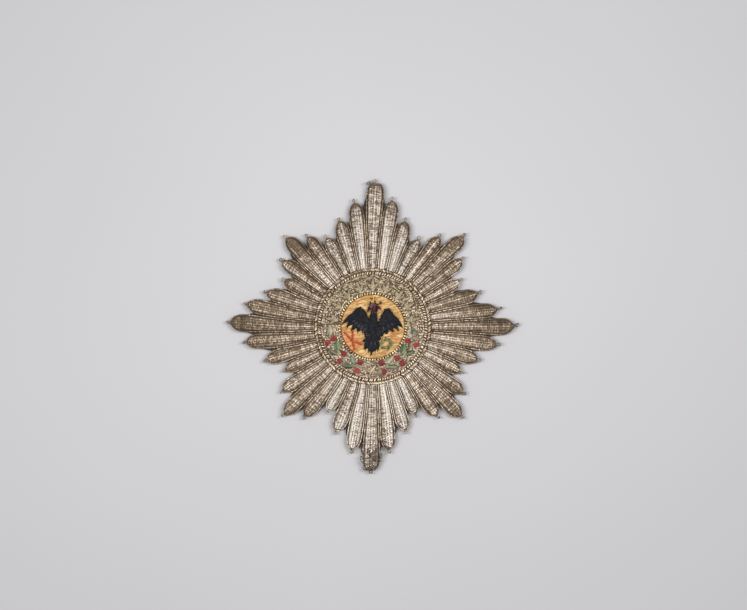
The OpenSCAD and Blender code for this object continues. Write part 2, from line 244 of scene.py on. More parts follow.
# Middle of the painted pool of light on the paper, in metres.
LIGHT_POOL_AT = (0, 0.012, 0)
# The painted falloff darkens the paper between these distances from its lightest place, in metres.
FALLOFF_DARKENS = (0.03, 0.2)
CLOUDS = 0.06
# Scale and detail of the noise.
CLOUD_NOISE, GRAIN_NOISE = (9.0, 2.0), (900.0, 3.0)
GRAIN_STRENGTH, GRAIN_DEPTH = 0.12, 0.05
PAPER_ROUGH = 0.85


def paper_material():
    material, tree, shader = new_material("paper")
    # Painted light: the paper's colour darkens with the distance from the star.
    away = node(tree, "ShaderNodeVectorMath", _0=object_place(tree), _1=LIGHT_POOL_AT)
    away.operation = "DISTANCE"
    cloudy = spread(tree, noise(tree, *CLOUD_NOISE), 0.3, 0.7, -CLOUDS, CLOUDS)
    shade = math_node(tree, "ADD", spread(tree, away.outputs["Value"], *FALLOFF_DARKENS), cloudy)
    tree.links.new(blend_color(tree, shade, PAPER, PAPER_FALLOFF_SHADE), shader.inputs["Base Color"])
    raise_bumps(tree, shader, noise(tree, *GRAIN_NOISE), GRAIN_STRENGTH, GRAIN_DEPTH)
    shader.inputs["Roughness"].default_value = PAPER_ROUGH
    return material


def lay_floor():
    bpy.ops.object.select_all(action="DESELECT")
    bpy.ops.mesh.primitive_plane_add(size=FLOOR_SIZE, location=(0, 0, 0))
    floor = bpy.context.object
    floor.name = "floor"
    floor.data.materials.append(paper_material())
    return floor


floor = lay_floor()
print("paper", floor.dimensions.x, "m wide")

# %% [markdown]
# ## How a thread ages
# Old silver goes yellow before it goes brown, and it stays brightest where it is rubbed. Each thread
# could be painted by hand, but there are thousands. So `thread_age` is a node group that is built
# once and blends four colours by three marks on each thread: crest (1 on top of the thread, 0 at its
# foot), strand (a chance number for each thread) and aged (how tarnished that stretch is; on the
# rays it also carries painted light and shade). Towards its foot a thread takes the crevice colour,
# which is painted shade, on silver together with real tarnish in its hollows. Noise adds patches
# and fine flecks.

# %% How a thread ages
NUMBER = "NodeSocketFloat"
COLOR = "NodeSocketColor"
# Uneven tarnish. Columns: scale, detail, lowest and highest noise, least and most added tarnish.
PATCHES = (260.0, 3.0, 0.36, 0.64, -0.11, 0.13)
SPECKS = (1500.0, 2.0, 0.35, 0.65, -0.17, 0.17)
STRAND_ODD = 0.2
# Between these two ages the bright colour turns to the warm one.
YELLOWS = (-0.25, 0.35)
# The crevice colour, a painted shade, fades out from a thread's foot up to this crest.
CREVICE_UP_TO = 0.5


def new_group(name, inputs, outputs):
    group = bpy.data.node_groups.new(name, "ShaderNodeTree")
    for way, sockets in (("INPUT", inputs), ("OUTPUT", outputs)):
        for label, kind in sockets.items():
            group.interface.new_socket(name=label, in_out=way, socket_type=kind)
    return group, group.nodes.new("NodeGroupInput"), group.nodes.new("NodeGroupOutput")


def build_thread_age():
    inputs = {label: NUMBER for label in ("Crest", "Strand", "Aged")}
    inputs.update({label: COLOR for label in ("Bright", "Warm", "Dull", "Crevice")})
    group, given, out = new_group("thread_age", inputs, {"Color": COLOR, "Worn": NUMBER})
    given = given.outputs
    worn = given["Aged"]
    for more in (spread(group, noise(group, *PATCHES[:2]), *PATCHES[2:]),
                 spread(group, given["Strand"], 0, 1, -STRAND_ODD, STRAND_ODD),
                 spread(group, noise(group, *SPECKS[:2]), *SPECKS[2:])):
        worn = math_node(group, "ADD", worn, more)
    worn = spread(group, worn, 0, 1)
    rubbed = blend_color(group, spread(group, given["Aged"], *YELLOWS), given["Bright"], given["Warm"])
    face = blend_color(group, worn, rubbed, given["Dull"])
    # Painted shade: towards a thread's foot the colour goes to the crevice colour.
    deep = spread(group, given["Crest"], 0, CREVICE_UP_TO, 1, 0)
    group.links.new(blend_color(group, deep, face, given["Crevice"]), out.inputs["Color"])
    group.links.new(worn, out.inputs["Worn"])
    return group


THREAD_AGE = build_thread_age()
print("node group", THREAD_AGE.name, "with", len(THREAD_AGE.nodes), "nodes")

# %% [markdown]
# ## How a thread is twisted
# A metal thread is a flat strip wound round a silk core, so fine slanting ridges run round it. They
# could be modelled, but at this size they show only as a broken glint. `thread_ply` gives them as a
# height for bumps, from two more marks: along (how far along the thread) and round (how far round).

# %% How a thread is twisted
# Length of one turn of the twist in mm.
PLY = 0.16


def build_thread_ply():
    group, given, out = new_group("thread_ply", {"Along": NUMBER, "Round": NUMBER}, {"Height": NUMBER})
    turns = math_node(group, "DIVIDE", given.outputs["Along"], PLY)
    turns = math_node(group, "ADD", turns, given.outputs["Round"])
    wave = math_node(group, "SINE", math_node(group, "MULTIPLY", turns, 2 * math.pi))
    group.links.new(spread(group, wave, -1, 1), out.inputs["Height"])
    return group


THREAD_PLY = build_thread_ply()
print("node group", THREAD_PLY.name, "with", len(THREAD_PLY.nodes), "nodes")

# %% [markdown]
# ## The material of a thread
# Silver thread, gilt wire and silk floss differ in colour, metal and shine, but they are laid and
# worn alike. A material of its own for each would repeat the same graph some thirty times. Instead
# one function makes them all: it joins the two groups to a Principled shader, and tarnish also
# makes the surface rougher.

# %% The material of a thread
PLY_DEPTH = 0.03
TARNISH_ROUGHER = 0.2


def use_group(tree, group, marks, **values):
    """Adds a node group. Each mark is read under the input's name, and values are set."""
    made = tree.nodes.new("ShaderNodeGroup")
    made.node_tree = group
    for name in marks:
        feed(tree, made.inputs[name], mark(tree, name.lower()))
    for name, value in values.items():
        feed(tree, made.inputs[name], value)
    return made


def thread_material(name, bright, dull, crevice, metal, rough, shine, warm=None, relief=0.35):
    """A laid thread. bright, warm, dull and crevice are linear colours."""
    material, tree, shader = new_material(name)
    colors = {"Bright": bright, "Warm": warm or bright, "Dull": dull, "Crevice": crevice}
    colors = {label: (*color, 1) for label, color in colors.items()}
    age = use_group(tree, THREAD_AGE, ("Crest", "Strand", "Aged"), **colors)
    twist = use_group(tree, THREAD_PLY, ("Along", "Round"))
    roughness = spread(tree, age.outputs["Worn"], 0, 1, rough, min(rough + TARNISH_ROUGHER, 1))
    tree.links.new(age.outputs["Color"], shader.inputs["Base Color"])
    tree.links.new(roughness, shader.inputs["Roughness"])
    raise_bumps(tree, shader, twist.outputs["Height"], relief, PLY_DEPTH)
    shader.inputs["Metallic"].default_value = metal
    shader.inputs["Specular IOR Level"].default_value = shine
    return material


print("a thread's material is ready to be made in any finish")

# %% [markdown]
# ## The metal finishes
# Old silver thread is warm and greyish, with brown in every crevice. The borders and loops are
# silver-gilt, and the outer cord is a pinkish gilt. The colours could come from a list of pure
# metals, but none of those is as dull as a thread that has hung in air for a century. So each
# finish was mixed until it looked like the old thread.
# The brown in every crevice is partly real tarnish and partly painted shade.

# %% The metal finishes
# Columns: bright, dull and crevice colour, share of metal, roughness, shine, yellowed silver.
METALS = {
    "silver_thread": (
        (0.97, 0.88, 0.78), (0.21, 0.144, 0.09), (0.042, 0.026, 0.015), 0.6, 0.3, 0.5, (0.84, 0.67, 0.5)),
    "grey_silver": (
        (0.97, 0.89, 0.8), (0.2, 0.147, 0.104), (0.04, 0.027, 0.018), 0.6, 0.3, 0.5, (0.82, 0.69, 0.57)),
    "silver_cord": (
        (0.93, 0.81, 0.68), (0.2, 0.137, 0.083), (0.03, 0.018, 0.01), 0.6, 0.3, 0.5, (0.78, 0.6, 0.43)),
    "border_purl": ((0.8, 0.66, 0.49), (0.3, 0.2, 0.115), (0.06, 0.03, 0.016), 0.76, 0.3, 0.25),
    "golden_purl": ((0.95, 0.75, 0.46), (0.3, 0.18, 0.08), (0.06, 0.026, 0.012), 0.76, 0.3, 0.25),
    "ring_purl": ((0.74, 0.57, 0.44), (0.16, 0.107, 0.07), (0.045, 0.028, 0.018), 0.76, 0.32, 0.5),
    "ring_olive": ((0.7, 0.6, 0.41), (0.19, 0.148, 0.085), (0.04, 0.03, 0.016), 0.76, 0.34, 0.5),
    "gilt_cord": ((0.74, 0.59, 0.44), (0.27, 0.18, 0.1), (0.06, 0.036, 0.02), 0.7, 0.36, 0.25),
    "gold_purl": ((0.68, 0.56, 0.38), (0.32, 0.25, 0.145), (0.06, 0.042, 0.02), 0.72, 0.36, 0.5),
    "tarnished_wire": ((0.46, 0.37, 0.27), (0.13, 0.1, 0.068), (0.03, 0.02, 0.013), 0.8, 0.36, 0.5),
    "crown_gold": ((0.7, 0.47, 0.14), (0.07, 0.028, 0.01), (0.03, 0.012, 0.005), 0.6, 0.4, 0.5),
    "dark_cord": ((0.12, 0.085, 0.05), (0.05, 0.034, 0.02), (0.02, 0.014, 0.008), 0.5, 0.5, 0.25),
}
MATERIALS = {name: thread_material(name, *row) for name, row in METALS.items()}
print(len(METALS), "metal finishes")

# %% [markdown]
# ## The silk finishes
# The medallion is worked in silk floss, which has no twist to speak of and shines softly. It could
# be one white silk with a tint for each thread, but dyed silk also changes in its shadows: red goes
# towards brown and green towards grey. So each dye has its own three colours.

# %% The silk finishes
# Columns: bright, dull and crevice colour, roughness, shine.
SILKS = {
    "black_silk": ((0.012, 0.013, 0.02), (0.003, 0.0026, 0.0035), (0.001, 0.001, 0.001), 0.42, 0.2),
    "brown_black_silk": ((0.04, 0.02, 0.011), (0.01, 0.006, 0.005), (0.003, 0.002, 0.0015), 0.5, 0.2),
    "glint_silk": ((0.17, 0.14, 0.14), (0.05, 0.042, 0.047), (0.01, 0.008, 0.009), 0.45, 0.5),
    "head_silk": ((0.46, 0.26, 0.25), (0.15, 0.05, 0.055), (0.012, 0.004, 0.005), 0.5, 0.25),
    "plum_silk": ((0.13, 0.035, 0.045), (0.025, 0.006, 0.01), (0.005, 0.002, 0.002), 0.5, 0.2),
    "red_silk": ((0.38, 0.05, 0.012), (0.17, 0.018, 0.006), (0.06, 0.007, 0.004), 0.5, 0.25),
    "orange_silk": ((0.6, 0.1, 0.022), (0.34, 0.045, 0.013), (0.13, 0.015, 0.008), 0.5, 0.25),
    "berry_silk": ((0.36, 0.05, 0.042), (0.12, 0.01, 0.01), (0.035, 0.003, 0.004), 0.5, 0.3),
    "dark_green_silk": ((0.15, 0.16, 0.095), (0.04, 0.048, 0.03), (0.015, 0.016, 0.01), 0.5, 0.2),
    "teal_silk": ((0.21, 0.25, 0.18), (0.075, 0.1, 0.072), (0.018, 0.023, 0.016), 0.5, 0.2),
    "green_silk": ((0.23, 0.275, 0.145), (0.07, 0.092, 0.045), (0.025, 0.028, 0.014), 0.5, 0.2),
    "olive_silk": ((0.34, 0.31, 0.12), (0.11, 0.105, 0.04), (0.03, 0.026, 0.01), 0.5, 0.2),
    "pale_green_silk": ((0.45, 0.44, 0.28), (0.2, 0.205, 0.115), (0.08, 0.075, 0.04), 0.5, 0.2),
    "stem_silk": ((0.3, 0.3, 0.17), (0.13, 0.135, 0.07), (0.045, 0.045, 0.024), 0.5, 0.2),
    "yellow_silk": ((0.78, 0.56, 0.265), (0.4, 0.21, 0.059), (0.2, 0.1, 0.03), 0.5, 0.3),
    "peach_silk": ((0.71, 0.355, 0.155), (0.44, 0.145, 0.047), (0.2, 0.06, 0.025), 0.5, 0.3),
}
# The floss of the ground lies flatter, so its twist shows less.
FLAT_FLOSS = {"yellow_silk": 0.15, "peach_silk": 0.15}
for silk_name, (bright, dull, crevice, rough, shine) in SILKS.items():
    relief = {"relief": FLAT_FLOSS[silk_name]} if silk_name in FLAT_FLOSS else {}
    MATERIALS[silk_name] = thread_material(silk_name, bright, dull, crevice, 0.0, rough, shine, **relief)
print(len(SILKS), "silk finishes")

# %% [markdown]
# ## The cloth under the threads
# Where threads part, dark card, padding and felt show between them. They could be left plain, as so
# little shows, but a plain colour looks like plastic in a gap. A plain weave is two crossing waves,
# so it needs no picture. The finishes go onto the solids themselves, which stay where they are.

# %% The cloth under the threads
WEAVE_DEPTH = 0.05
# Shares of the weave and of the patches in the tone.
WEAVE_SHARE, PATCH_SHARE = 0.4, 0.6
PATCH_NOISE = (220.0, 4.0)
CLOTH_ROUGH = 0.9
# Columns: light colour, dark colour, distance between two threads in mm.
CLOTHS = {
    "backing_cloth": ((0.05, 0.04, 0.03), (0.02, 0.016, 0.012), 0.35),
    "padding": ((0.13, 0.1, 0.068), (0.06, 0.045, 0.03), 0.25),
    "silk_felt": ((0.5, 0.32, 0.12), (0.4, 0.24, 0.08), 0.3),
    "ring_felt": ((0.16, 0.13, 0.095), (0.08, 0.06, 0.04), 0.3),
}


def woven_cloth(name, light, dark, pitch):
    material, tree, shader = new_material(name)
    axes = node(tree, "ShaderNodeSeparateXYZ", Vector=object_place(tree))
    turns = 2 * math.pi / (pitch * MM)
    waves = [
        math_node(tree, "SINE", math_node(tree, "MULTIPLY", axes.outputs[axis], turns)) for axis in "XY"
    ]
    weave = spread(tree, math_node(tree, "MULTIPLY", *waves), -1, 1)
    patches = spread(tree, noise(tree, *PATCH_NOISE), 0.3, 0.7)
    tone = math_node(
        tree, "ADD",
        math_node(tree, "MULTIPLY", weave, WEAVE_SHARE),
        math_node(tree, "MULTIPLY", patches, PATCH_SHARE),
    )
    tree.links.new(blend_color(tree, tone, (*dark, 1), (*light, 1)), shader.inputs["Base Color"])
    raise_bumps(tree, shader, weave, 0.5, WEAVE_DEPTH)
    shader.inputs["Roughness"].default_value = CLOTH_ROUGH
    return material


def refinish(node_name, material):
    """Gives a CAD node's own surface a finish."""
    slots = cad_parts[node_name].data.materials
    slots.clear()
    slots.append(MATERIALS[material])


MATERIALS.update({name: woven_cloth(name, *row) for name, row in CLOTHS.items()})
refinish("backing", "backing_cloth")
print(len(CLOTHS), "cloths; the card is covered")

# %% [markdown]
# ## A heap of threads
# On the real star every thread is laid and sewn down one by one. In Blender each could be a curve
# with a round bevel, but thousands of objects are slow, and a curve can't carry marks for its
# tarnish. So threads and beads are collected in a heap, with their marks and the number of their
# finish, and a whole heap becomes one mesh. All of it is reckoned in millimetres.

# %% A heap of threads
UP = (0, 0, 1)
MARKS = ("crest", "strand", "aged", "along", "round")


class Heap:
    """Small closed meshes in millimetres that become one piece."""

    def __init__(self):
        self.points, self.faces, self.paints = [], [], []
        self.marks = {name: [] for name in MARKS}
        self.count = 0

    def add(self, points, faces, paint, shape, **marks):
        """A mark may be given once, for each thread or for each point, and is spread over shape."""
        self.points.append(points)
        self.faces.extend([[i + self.count for i in face] for face in faces])
        self.paints.extend([paint] * len(faces))
        for name, values in self.marks.items():
            values.append(np.broadcast_to(np.asarray(marks.get(name, 0.5), float), shape).ravel())
        self.count += len(points)


def unit(vectors):
    return vectors / np.maximum(np.linalg.norm(vectors, axis=-1, keepdims=True), 1e-9)


print("a heap carries the marks", ", ".join(MARKS))

# %% [markdown]
# ## Laying threads
# A laid thread is a small closed tube that follows a path over the ground. Each tube could be made
# with a spin or a bevel, but here a whole stack of paths is laid at once, which takes a moment
# instead of minutes. At each step of a path a few points are set in an arc round it. They lie closer
# together above than below, where the thread rests and nobody looks. `chance`, from which all
# random values are drawn, is seeded before the first ray is covered.

# %% Laying threads
# The arc of a thread's points, in degrees from the side.
THREAD_ARC = (-35, 215)


def tube_faces(threads, steps, sides, closed):
    """Walls of all tubes, and a cap at each end unless they close into rings."""
    last = steps if closed else steps - 1
    thread, step, side = np.meshgrid(np.arange(threads), np.arange(last), np.arange(sides), indexing="ij")
    near, far = ((thread * steps + at % steps) * sides for at in (step, step + 1))
    turn = (side + 1) % sides
    faces = np.stack([near + side, far + side, far + turn, near + turn], axis=-1).reshape(-1, 4).tolist()
    if not closed:
        first = (np.arange(threads) * steps * sides)[:, None] + np.arange(sides)
        faces += first.tolist() + (first + (steps - 1) * sides)[:, ::-1].tolist()
    return faces


def lay_threads(heap, paths, ups, radius, paint=0, sides=4, aged=0.0, shade=1.0, closed=False, vary=1.0):
    """Adds threads along paths[thread, step, xyz].

    ups points away from the ground, shade darkens a stretch, vary is how unlike the threads are.
    """
    paths = np.asarray(paths, float)
    threads, steps = paths.shape[:2]
    if closed:
        forward = unit(np.roll(paths, -1, axis=1) - np.roll(paths, 1, axis=1))
    else:
        forward = unit(np.gradient(paths, axis=1))
    aside = unit(np.cross(forward, np.broadcast_to(ups, paths.shape)))
    up = np.cross(aside, forward)
    angles = np.radians(np.linspace(*THREAD_ARC, sides))
    ring = np.cos(angles)[:, None] * aside[..., None, :] + np.sin(angles)[:, None] * up[..., None, :]
    width = np.broadcast_to(np.asarray(radius, float), (threads, steps))[..., None, None]
    points = (paths[:, :, None, :] + width * ring).reshape(-1, 3)
    along = np.cumsum(np.linalg.norm(np.diff(paths, axis=1, prepend=paths[:, :1]), axis=2), axis=1)
    # The crest falls to 0 at a thread's foot, where the crevice colour paints shade.
    heap.add(
        points, tube_faces(threads, steps, sides, closed), paint, (threads, steps, sides),
        crest=np.broadcast_to(shade, (threads, steps))[..., None] * np.clip(np.sin(angles), 0, 1),
        strand=0.5 + vary * (chance.random((threads, 1, 1)) - 0.5),
        aged=np.broadcast_to(aged, (threads, steps))[..., None],
        along=along[..., None],
        round=np.arange(sides) / sides,
    )


def straight_threads(heap, rows, height, radius, paint, bow=0.12):
    """Short threads from a table of their two ends. bow is how far they rise in the middle, in mm."""
    ends = np.array(rows, float).reshape(-1, 2, 2)
    steps = np.linspace(0, 1, 6)[None, :, None]
    plan = ends[:, :1] * (1 - steps) + ends[:, 1:] * steps
    rise = height + bow * np.sin(math.pi * steps[..., 0]) * np.ones((len(ends), 1))
    aged = chance.uniform(0, 0.9, (len(ends), 1))
    lay_threads(heap, np.dstack([plan, rise]), UP, radius, paint=paint, sides=5, aged=aged)


print("threads can be laid")

# %% [markdown]
# ## Beads of purl
# Purl is a tight coil of wire, and from above its turns look like a row of beads that lean over.
# A coil could be wound as one long wire, but it would take ten times as many faces. So one bead is
# modelled from a sphere, turned and leaned over, and then copied along the cord, each copy a
# little different in size.

# %% Beads of purl
def bead_shape(segments, rings, slant=0.0):
    """The points and faces of one bead, one unit in radius; slant leans it over like a coil's turn."""
    bpy.ops.object.select_all(action="DESELECT")
    bpy.ops.mesh.primitive_uv_sphere_add(segments=segments, ring_count=rings, radius=1)
    bead = bpy.context.object
    bpy.ops.object.mode_set(mode="EDIT")
    bpy.ops.mesh.select_all(action="SELECT")
    bpy.ops.transform.rotate(value=math.pi / 2, orient_axis="X", center_override=(0, 0, 0))
    bpy.ops.object.mode_set(mode="OBJECT")
    points = np.array([v.co[:] for v in bead.data.vertices])
    points[:, 1] += slant * points[:, 0]
    faces = [list(face.vertices) for face in bead.data.polygons]
    bpy.data.objects.remove(bead)
    return points, faces


def set_beads(heap, bead, places, forward, ups, size, paint=0, aged=0.0, jitter=0.0):
    """Copies a bead to places[n, xyz]. Its x lies across, its y along and its z up; size is in mm."""
    shape, faces = bead
    places = np.asarray(places, float)
    count = len(places)
    along = unit(np.broadcast_to(forward, places.shape).astype(float))
    across = unit(np.cross(along, np.broadcast_to(ups, places.shape)))
    up = np.cross(across, along)
    uneven = 1 + jitter * (chance.random((count, 3)) - 0.5)
    size = np.broadcast_to(np.asarray(size, float), (count, 3)) * uneven
    axes = np.stack([across * size[:, :1], along * size[:, 1:2], up * size[:, 2:]], axis=1)
    points = (np.einsum("vk,nkx->nvx", shape, axes) + places[:, None, :]).reshape(-1, 3)
    # A bead's crest is lowest at its sides and ends, so painted shade lies between the beads.
    heap.add(
        points, [[i + n * len(shape) for i in face] for n in range(count) for face in faces],
        paint, (count, len(shape)),
        crest=np.clip(0.5 + 0.6 * shape[:, 2] - 0.45 * np.abs(shape[:, 1]), 0, 1),
        strand=chance.random((count, 1)),
        aged=np.asarray(aged, float).reshape(-1, 1),
        along=shape[:, 1] * 0.1,
    )


purl_bead = bead_shape(5, 4, slant=0.45)
round_bead = bead_shape(8, 6)
print("a purl bead has", len(purl_bead[0]), "points, a round one", len(round_bead[0]))

# %% [markdown]
# ## From a heap to a piece
# A finished piece is one object with its marks on the vertices. Threads that cross could be joined
# into one skin, but real ones only touch, so they stay separate tubes within the mesh. Each piece
# rides on the star's one body and names the plain solids that it takes the place of.

# %% From a heap to a piece
def make_piece(name, heap, finishes, replaces=()):
    """One object from a heap, riding on the body."""
    mesh = bpy.data.meshes.new(name)
    mesh.from_pydata((np.concatenate(heap.points) * MM).tolist(), [], heap.faces)
    for finish in finishes:
        mesh.materials.append(MATERIALS[finish])
    mesh.polygons.foreach_set("material_index", heap.paints)
    mesh.polygons.foreach_set("use_smooth", [True] * len(mesh.polygons))
    for label, values in heap.marks.items():
        layer = mesh.attributes.new(label, "FLOAT", "POINT")
        layer.data.foreach_set("value", np.concatenate(values).astype(np.float32))
    mesh.update()
    piece = bpy.data.objects.new(name, mesh)
    bpy.context.collection.objects.link(piece)
    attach(piece, "root")
    if replaces:
        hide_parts(*replaces)
    return piece


def triangles(*pieces):
    return sum(len(face.vertices) - 2 for piece in pieces for face in piece.data.polygons)


print("heaps can be made into pieces")

# %% [markdown]
# ## Measuring a ray
# A ray is a padded finger that widens from the medallion and closes in a rounded nose. Its solid is
# a loft through nine sections. The widths could be typed in for each of the forty rays, but they
# can be read back from the solid: the feet of a section lie on its underside, one left and one
# right, and its highest point is the ridge. In order from root to tip they guide the threads, so
# the embroidery always fits its ray.

# %% Measuring a ray
# Points closer than this in mm belong to the same section.
SAME = 0.02


def node_points(name):
    """The corners of a CAD node in millimetres, each once."""
    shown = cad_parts[name]
    points = np.array([(shown.matrix_world @ v.co)[:] for v in shown.data.vertices]) / MM
    return np.unique(points.round(4), axis=0)


def ray_guide(name):
    """A ray's sections in mm from the root outwards: the ridge, the two feet, the ridge height."""
    points = node_points(name)
    low = points[:, 2].min()
    feet = points[points[:, 2] < low + SAME][:, :2]
    forward = unit(feet.mean(axis=0))
    clockwise = np.array([forward[1], -forward[0]])
    guide = []
    for pair in feet[np.argsort(feet @ forward)].reshape(-1, 2, 2):
        left, right = sorted(pair, key=lambda foot: foot @ clockwise)
        line = unit(right - left)
        normal = np.array([-line[1], line[0]])
        section = points[np.abs((points[:, :2] - left) @ normal) < SAME]
        ridge = section[np.argmax(section[:, 2])]
        guide.append((ridge[:2], left, right, ridge[2]))
    ridge, left, right, height = (np.array(column) for column in zip(*guide))
    return {"ridge": ridge, "left": left, "right": right, "height": height, "low": low}


RAYS = sorted(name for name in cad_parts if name.startswith("ray_"))
guides = {name: ray_guide(name) for name in RAYS}
print(len(guides), "rays; the top one has", len(guides["ray_00"]["ridge"]), "sections")

# %% [markdown]
# ## Curves between the sections
# The padding swells smoothly from section to section. Straight lines between them would leave
# corners, and an ordinary spline bulges past its points at the nose. This curve has no slope
# where its values turn, and a mean of the slopes beside it elsewhere, so it never overshoots.

# %% Curves between the sections
def smooth_through(known, values, wanted):
    """A curve through known values that never overshoots them."""
    known, values, wanted = (np.asarray(a, float) for a in (known, values, wanted))
    if values.ndim > 1:
        return np.stack([smooth_through(known, column, wanted) for column in values.T], axis=-1)
    step = np.diff(known)
    slope = np.diff(values) / step
    turn = np.zeros(len(known))
    same = slope[:-1] * slope[1:] > 0
    turn[1:-1][same] = 2 * slope[:-1][same] * slope[1:][same] / (slope[:-1] + slope[1:])[same]
    turn[0], turn[-1] = slope[0], slope[-1]
    at = np.clip(np.searchsorted(known, wanted, side="right") - 1, 0, len(step) - 1)
    h = step[at]
    t = (wanted - known[at]) / h
    return ((1 + 2 * t) * (1 - t) ** 2 * values[at] + t * (1 - t) ** 2 * h * turn[at]
            + t * t * (3 - 2 * t) * values[at + 1] + t * t * (t - 1) * h * turn[at + 1])


def path_length(points):
    """How far along the path each point lies."""
    return np.concatenate([[0], np.cumsum(np.linalg.norm(np.diff(points, axis=0), axis=1))])


print("the top ray is", round(path_length(guides["ray_00"]["ridge"])[-1], 1), "mm long")

# %% [markdown]
# ## Tarnish of the rays
# The silver isn't equally old everywhere, and the lamps catch its threads differently at each
# bearing. The rays are lightest beside the top and bottom rays and darkest at the sides, and most rays
# darken towards their tips: partly real tarnish and partly painted light and shade. This could be
# painted on each ray by hand. A short table by bearing is easier to change, and the values between
# its rows follow.
# The table's values weren't chosen by hand. A separate fit compared the mean tone of each ray's
# inner and outer half in a render and in the photo. Its results were rounded to 0.05, and some
# were moved by up to 0.1.
# Three rays on the right are also darker on the ridge and the upper flank of their last third, and
# some tips are worn.

# %% Tarnish of the rays
# Columns: bearing clockwise from the top, tarnish and painted light at a ray's root, and at its tip.
TARNISH_AND_LIGHT = np.array([
    (0, 0.25, 0.6), (14, -1.05, 1.15), (27, 0.3, 0.8), (45, 0.45, 1.1), (63, 0.75, 0.35),
    (81, 0.5, 1.1), (90, 0.8, 0.9), (99, 0.5, 0.8), (126, 0.15, 1), (144, 0.4, 0.7),
    (160, -0.65, 0.15), (180, 0, 0.35), (189, -0.3, -0.3), (198, 0.4, -0.2), (207, 0, -0.45),
    (216, 0.1, 0.75), (225, 0.55, 0.85), (250, 0.55, 0.65), (270, 0.8, 1.1), (290, 0.55, 0.85),
    (306, 0.85, 0.85), (318, -0.15, 1.65), (333, 0.55, 0.55), (346, -0.5, 1.1), (360, 0.25, 0.6),
])
TARNISH_AND_LIGHT_LATE = 1.6
# How much darker each ray grows over its last stretch, and the length of that stretch in mm.
NOSE_DARKER = 0.25
NOSE_L = 1.2
DARK_FLANK_RAYS = ("ray_08", "ray_09", "ray_10")
DARK_FLANK_PART = (0.62, 0.93)
DARK_FLANK_FADES = 0.08
DARK_FLANK_AGED = 1.0
DARK_FLANK_DEPTH = 0.75
# Wear near some tips. Columns: length in mm, tarnish, unevenness of the threads in mm, and how dark
# single threads are.
WORN_TIPS = {
    "ray_00": (2.6, 0.2, 0.06, 0.9), "ray_01": (9, 0.02, 0, 0.3), "ray_08": (9, 0.05, 0, 0.4),
    "ray_10": (6, 0.02, 0, 0.75), "ray_15": (9, 0.04, 0, 0.3), "ray_20": (8.0, 0.12, 0.04, 0.6),
    "ray_30": (11.0, 0.03, 0, 0.85), "ray_35": (14, 0.06, 0, 0.55), "ray_39": (9, 0.02, 0, 0.35),
}
NOT_WORN = (1, 0, 0, 0)


def ray_tarnish(number, share_out):
    """Tarnish and painted light at a share of the way out, which come late towards the tip."""
    bearing = 360 * number / len(RAYS)
    root, tip = (np.interp(bearing, TARNISH_AND_LIGHT[:, 0], TARNISH_AND_LIGHT[:, column]) for column in (1, 2))
    return root + (tip - root) * share_out ** TARNISH_AND_LIGHT_LATE


print("tarnish of the top ray at half its length:", round(float(ray_tarnish(0, 0.5)), 2))

# %% [markdown]
# ## Crossings of a ray
# A thread of silver is carried across the padding, back and forth, and caught down along both
# edges. It could be one endless thread, but its turns hide under the edge cord, so each crossing
# is a thread of its own. First each gets its place on the ridge, the way to the left and the right
# edge, its height and its wear. The string streaks come from here too: every string of the padding
# is a little lighter or darker over the whole length of the ray, partly from rubbing and partly as a
# painted highlight where it glints.

# %% Crossings of a ray
# Distance between two crossings in mm, and how uneven it is as a share.
THREAD_PITCH = 0.36
PITCH_ODD = 0.12
CORD_D = 0.55
# The crossings start and stop this far from the ends of the ray, and rest this far up the cord.
ROOT_GAP, TIP_GAP = 0.15, 0.45
GROOVE_SHARE = 0.55
# How unevenly the strings are rubbed and lit by painted highlights, on rays that point sideways and
# on upright ones, and the unevenness from stitch to stitch.
STREAKS = (0.08, 0.24)
STREAK_MOST = 0.35
FLECKS = (1.05, 1.8)
# Number of strings, more than the widest ray has, and those whose mean age is taken away.
STRINGS = 24
MIDDLE_STRINGS = slice(8, 16)


def ray_crossings(name, number):
    """What all threads of a ray share, and an array with a row for each thread of what they don't."""
    guide = guides[name]
    ridge = guide["ridge"]
    run = path_length(ridge)
    at = np.arange(ROOT_GAP, run[-1] - TIP_GAP, THREAD_PITCH)
    at = at + THREAD_PITCH * PITCH_ODD * (chance.random(len(at)) - 0.5)
    share_out = at / run[-1]
    base = guide["low"] + GROOVE_SHARE * CORD_D
    middle = smooth_through(run, ridge, at)
    row = {"out": share_out, "odd": np.arange(len(at)) % 2,
           "rise": smooth_through(run, guide["height"], at) - base}
    for side in ("left", "right"):
        reach = smooth_through(run, guide[side], at) - middle
        half = np.linalg.norm(reach, axis=1, keepdims=True)
        row[side] = reach * np.maximum(1 - CORD_D / half, 0.05)

    worn_l, worn, uneven, dark = WORN_TIPS.get(name, NOT_WORN)
    wear = np.clip(2 * (at - run[-1]) / worn_l + 2, 0, 1)
    tarnish = ray_tarnish(number, share_out) + NOSE_DARKER * np.clip((at - run[-1]) / NOSE_L + 1, 0, 1)
    row["tarnish"] = tarnish + wear * worn * chance.uniform(1, 6, len(at))
    row["dim"] = 1 - dark * wear * chance.random(len(at))

    upright = unit(ridge[-1])[1] ** 2
    streaks = chance.normal(0, np.interp(upright, (0, 1), STREAKS), STRINGS)
    streaks = np.clip(streaks - streaks[MIDDLE_STRINGS].mean(), -STREAK_MOST, STREAK_MOST)
    ends = np.minimum(share_out - DARK_FLANK_PART[0], DARK_FLANK_PART[1] - share_out)
    row["stain"] = np.clip(ends / DARK_FLANK_FADES, 0, 1) * chance.uniform(0.5, 1, len(at)) * (name in DARK_FLANK_RAYS)
    row["middle"] = middle + uneven * wear[:, None] * chance.normal(0, 1, (len(at), 2))
    ray = {"number": number, "base": base, "streaks": streaks, "flecks": np.interp(upright, (0, 1), FLECKS)}
    return ray, row


